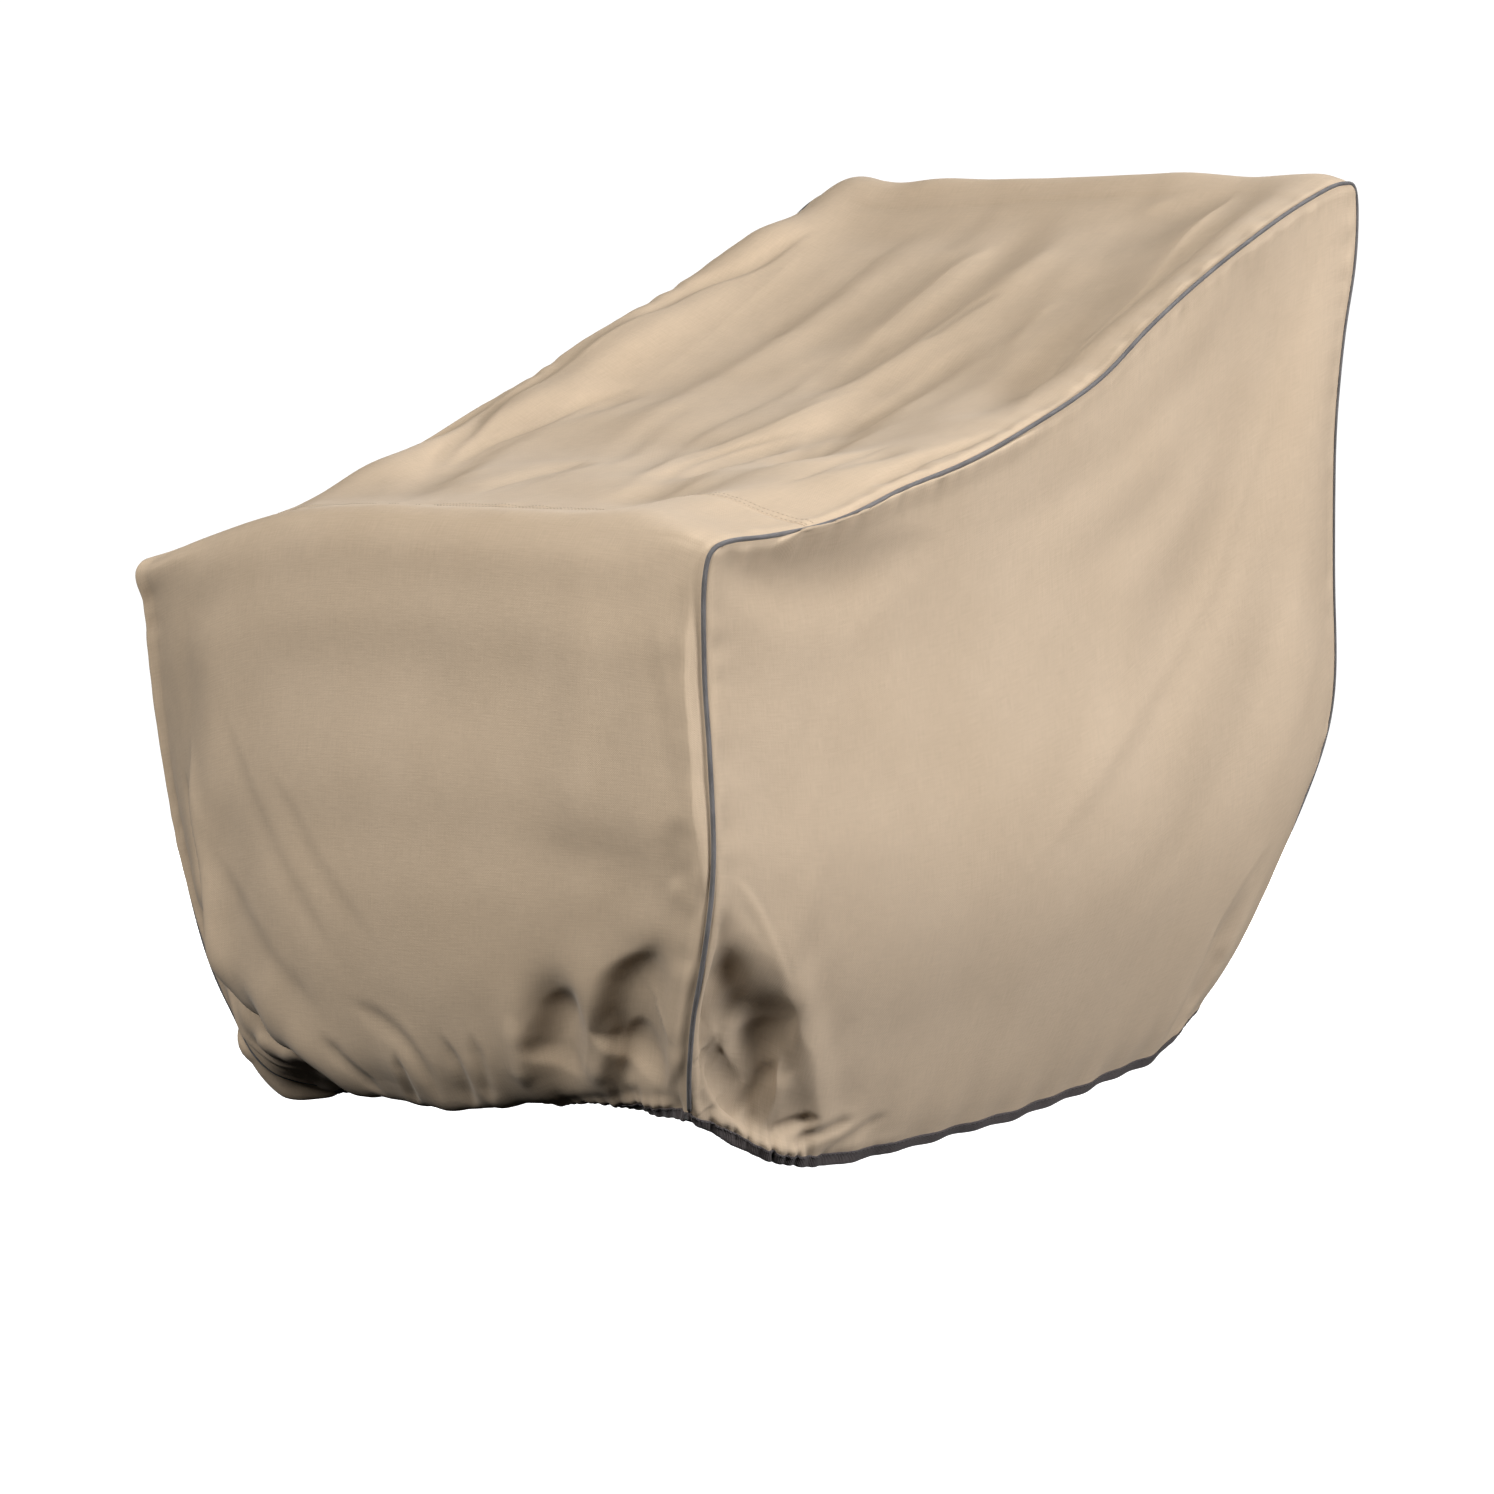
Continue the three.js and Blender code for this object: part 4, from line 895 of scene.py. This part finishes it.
# The points of the tape's section from outside to inside: how far to the side of the hem's
# middle each lies, in half widths, and how far above the hem, in depths of the tape
TAPE_SECTION = [
    (1, 1), (1, 0.8), (1, 0.6), (1, 0.4), (1, 0.2), (1, 0),
    (0.7, -0.08), (0, -0.11), (-0.7, -0.08),
    (-1, 0), (-1, 0.5), (-1, 0.95),
]
# How many of a panel's lowest rows the tape may reach up to
TAPE_ROWS = 16


def hem_stations(points):
    """Along a panel's hem, the way out of the cloth and the cloth's middle at the hem and at
    each height of the tape's section"""
    out = normals_of(points)
    middle = (points - out * CANVAS_THICK / 2)[::-1][:TAPE_ROWS]
    rise = np.linalg.norm(points[::-1] - points[-1], axis=2)[:TAPE_ROWS]
    heights = [0] + [TAPE_DEEP * abs(up) for side, up in TAPE_SECTION]
    return np.array([
        np.concatenate([out[-1, c], points_at(heights, rise[:, c], middle[:, c]).ravel()])
        for c in range(points.shape[1])
    ])


panels_round = (front_points, side_points["right"], centre_points, side_points["left"])
hem = np.concatenate([hem_stations(points) for points in panels_round])
hem[:, 6:] -= np.tile(hem[:, 3:6], len(TAPE_SECTION))
# The tape turns more gently than the gathered cloth that it holds
for _ in range(4):
    for part in (slice(0, 3), slice(6, None)):
        hem[:, part] = sum(np.roll(hem[:, part], k, axis=0) for k in (-1, 0, 0, 1)) / 4
hem = np.concatenate([hem, hem[:1]])
hem_out = hem[:, :3] / np.linalg.norm(hem[:, :3], axis=1, keepdims=True)
hem_line = hem[:, 3:6]
half = CANVAS_THICK / 2 + TAPE_ROOM
hem_up = hem[:, 6:9] / np.linalg.norm(hem[:, 6:9], axis=1, keepdims=True)
outside = []
inside = []
for number, (side, up) in enumerate(TAPE_SECTION):
    rise = hem[:, 6 + 3 * number : 9 + 3 * number] * (-1 if up < 0 else 1)
    below = hem_up * TAPE_THICK * (up <= 0)
    outside.append(hem_line + rise - below + hem_out * side * (half + TAPE_THICK))
    inside.append(hem_line + rise + hem_out * side * half)
tape_rows = outside + inside[::-1] + outside[:1]
ring = [(0, TAPE_DEEP * up) for side, up in TAPE_SECTION]
ring = ring + ring[::-1] + ring[:1]
binding = wrapped("hem_tape", tape_rows, run_of(hem_line), run_of(ring))
dark_tape = ribbed_cloth("dark_tape", TAPE_DARK, TAPE_LIGHT, slant=0, pitch=0.0014, rough=0.66)
binding.data.materials.append(dark_tape)
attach(binding, "root")
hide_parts("hem_binding")

# Stitches: lockstitches in polyester thread, in two rows of tan beside the cross seam
# and in one dark row near the tape's upper edge.
THREAD_ROUND = 0.00028
CROSS_ROWS = (0.0022, 0.0085)
CROSS_STITCH = {"long": 0.0029, "pitch": 0.0038}
TAPE_STITCH = {"long": 0.0034, "pitch": 0.0046}
TAPE_ROW_DOWN = 0.9


def stitched(name, line, out, stitch, thread):
    """A row of stitches lying on the cloth along a line"""
    far = run_of(line)
    at = np.arange(stitch["pitch"], far[-1] - stitch["pitch"], stitch["pitch"])
    spot = points_at(at, far, line)
    on = points_at(at + 1e-4, far, line)
    row = bmesh.new()
    for middle, ahead, rise in zip(spot, on - spot, points_at(at, far, out)):
        ahead, rise = Vector(ahead).normalized(), Vector(rise).normalized()
        aside = rise.cross(ahead).normalized()
        rise = ahead.cross(aside)
        sizes = (THREAD_ROUND, THREAD_ROUND * 1.3, stitch["long"] / 2)
        turn = Matrix([v * s for v, s in zip((rise, aside, ahead), sizes)]).transposed()
        place = Matrix.Translation(Vector(middle) + rise * THREAD_ROUND * 0.4) @ turn.to_4x4()
        bmesh.ops.create_uvsphere(row, u_segments=6, v_segments=4, radius=1, matrix=place)
    for face in row.faces:
        face.smooth = True
    piece = made_of(name, row)
    piece.data.materials.append(thread)
    return piece


def thread_material(name, dark, light):
    """Twisted thread: fine slanting plies that catch the light"""
    material, shader = new_material(name, {"Roughness": 0.45, "Sheen Weight": 0.2})
    where = wired(material, "ShaderNodeTexCoord").outputs["Object"]
    twist = {"Vector": where, "Scale": 620, "Distortion": 1.5}
    plies = wired(material, "ShaderNodeTexWave", twist, bands_direction="DIAGONAL").outputs["Fac"]
    colour = toned(material, plies, dark, light)
    raised = bumped(material, Height=plies, Strength=0.5, Distance=0.0001)
    joined(material, shader, {"Base Color": colour, "Normal": raised})
    return material


tan_thread = thread_material("tan_thread", (0.33, 0.25, 0.17, 1), (0.56, 0.44, 0.32, 1))
dark_thread = thread_material("dark_thread", (0.02, 0.017, 0.017, 1), (0.09, 0.078, 0.078, 1))
centre_out = normals_of(centre_points)
run_down = run_of(centre_points, 0)
cross_stitches = []
# Both rows stop three threads short of the piped seams
for number, far in enumerate(CROSS_ROWS):
    line, out = (
        np.array([
            points_at(far, run_down[:, c], grid[:, c]) for c in range(3, grid.shape[1] - 3)
        ])
        for grid in (centre_points, centre_out)
    )
    row = stitched(f"cross_stitches_{number}", line, out, CROSS_STITCH, tan_thread)
    cross_stitches.append(row)
tape_line = tape_rows[0] * (1 - TAPE_ROW_DOWN) + tape_rows[1] * TAPE_ROW_DOWN
tape_stitches = stitched("tape_stitches", tape_line, hem_out, TAPE_STITCH, dark_thread)
for row in cross_stitches + [tape_stitches]:
    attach(row, "root")

# Floor, light and camera: a white studio floor and sky, a large soft lamp on the right,
# weaker ones in front, above and behind, and the lens below the height of the cover's top
# edge, off the right front corner.
GROUND = -0.9058
FLOOR_HALF = 12
# Two distances, and how much the floor glows at each, so that it runs into the sky
FLOOR_GLOW = ((1.1, 2.2), (0.86, 1.06))
# Two heights in the sky, and how much light it gives at each. The camera sees it white.
SKY_LIGHT = ((-0.25, 0.35), (0.13, 0.47))
SKY_SEEN = 1.35
LAMPS_AIM = (0, -0.3, -0.4)
LAMPS = [
    {"name": "key", "at": (3.35, 0.85, 0.85), "size": 1.0, "watts": 130, "tint": (0.98, 0.99, 1.02)},
    {"name": "fill", "at": (0.8, -3.6, 1.6), "size": 1.8, "watts": 120, "tint": (1, 1, 1)},
    {"name": "top", "at": (0.2, -0.6, 2.8), "size": 2.0, "watts": 27, "tint": (1, 1, 1)},
    {"name": "behind", "at": (-2.6, 2.4, -0.1), "size": 2.0, "watts": 80, "tint": (1, 1, 1)},
]
LENS_AT = (1.8724, -2.2948, -0.2558)
LENS_AIM = (-0.1296, -0.2218, -0.4678)
# The lens's focal length and the picture's width in pixels, and the sensor's in millimetres
LENS_PIXELS = 3288
PHOTO_PIXELS = 1494
SENSOR = 36

flat = bmesh.new()
bmesh.ops.create_grid(flat, x_segments=1, y_segments=1, size=FLOOR_HALF)
bmesh.ops.translate(flat, verts=flat.verts, vec=(0, 0, GROUND))
floor = made_of("floor", flat)
white = {"Base Color": (0.8, 0.8, 0.8, 1), "Roughness": 0.9, "Emission Color": (1, 1, 1, 1)}
paint, paint_shader = new_material("pale_floor", white)
spot = wired(paint, "ShaderNodeTexCoord").outputs["Object"]
far_off = wired(paint, "ShaderNodeVectorMath", {0: spot}, operation="LENGTH").outputs["Value"]
joined(paint, paint_shader, {"Emission Strength": spread(paint, far_off, *FLOOR_GLOW)})
floor.data.materials.append(paint)
floor.visible_diffuse = False
floor.visible_glossy = False

world = bpy.data.worlds.new("studio")
world.use_nodes = True
way = wired(world, "ShaderNodeTexCoord").outputs["Generated"]
height = wired(world, "ShaderNodeSeparateXYZ", {"Vector": way}).outputs["Z"]
light = spread(world, height, *SKY_LIGHT)
lit = joined(world, world.node_tree.nodes["Background"], {"Strength": light})
seen = wired(world, "ShaderNodeBackground", {"Strength": SKY_SEEN})
by_camera = wired(world, "ShaderNodeLightPath").outputs["Is Camera Ray"]
skies = {"Fac": by_camera, 1: lit.outputs["Background"], 2: seen.outputs["Background"]}
sky = wired(world, "ShaderNodeMixShader", skies).outputs["Shader"]
joined(world, world.node_tree.nodes["World Output"], {"Surface": sky})
bpy.context.scene.world = world
bpy.context.scene.view_settings.view_transform = "Standard"


def aimed(name, data, at, aim):
    """A lamp or camera in the scene, at one point and turned towards another"""
    thing = bpy.data.objects.new(name, data)
    thing.location = at
    thing.rotation_euler = (Vector(aim) - Vector(at)).to_track_quat("-Z", "Y").to_euler()
    bpy.context.scene.collection.objects.link(thing)
    return thing


for lamp in LAMPS:
    bulb = bpy.data.lights.new(lamp["name"], "AREA")
    bulb.size = lamp["size"]
    bulb.energy = lamp["watts"]
    bulb.color = lamp["tint"]
    aimed(lamp["name"], bulb, lamp["at"], LAMPS_AIM)

lens = bpy.data.cameras.new("camera")
lens.sensor_width = SENSOR
lens.lens = LENS_PIXELS / PHOTO_PIXELS * SENSOR
bpy.context.scene.camera = aimed("camera", lens, LENS_AT, LENS_AIM)
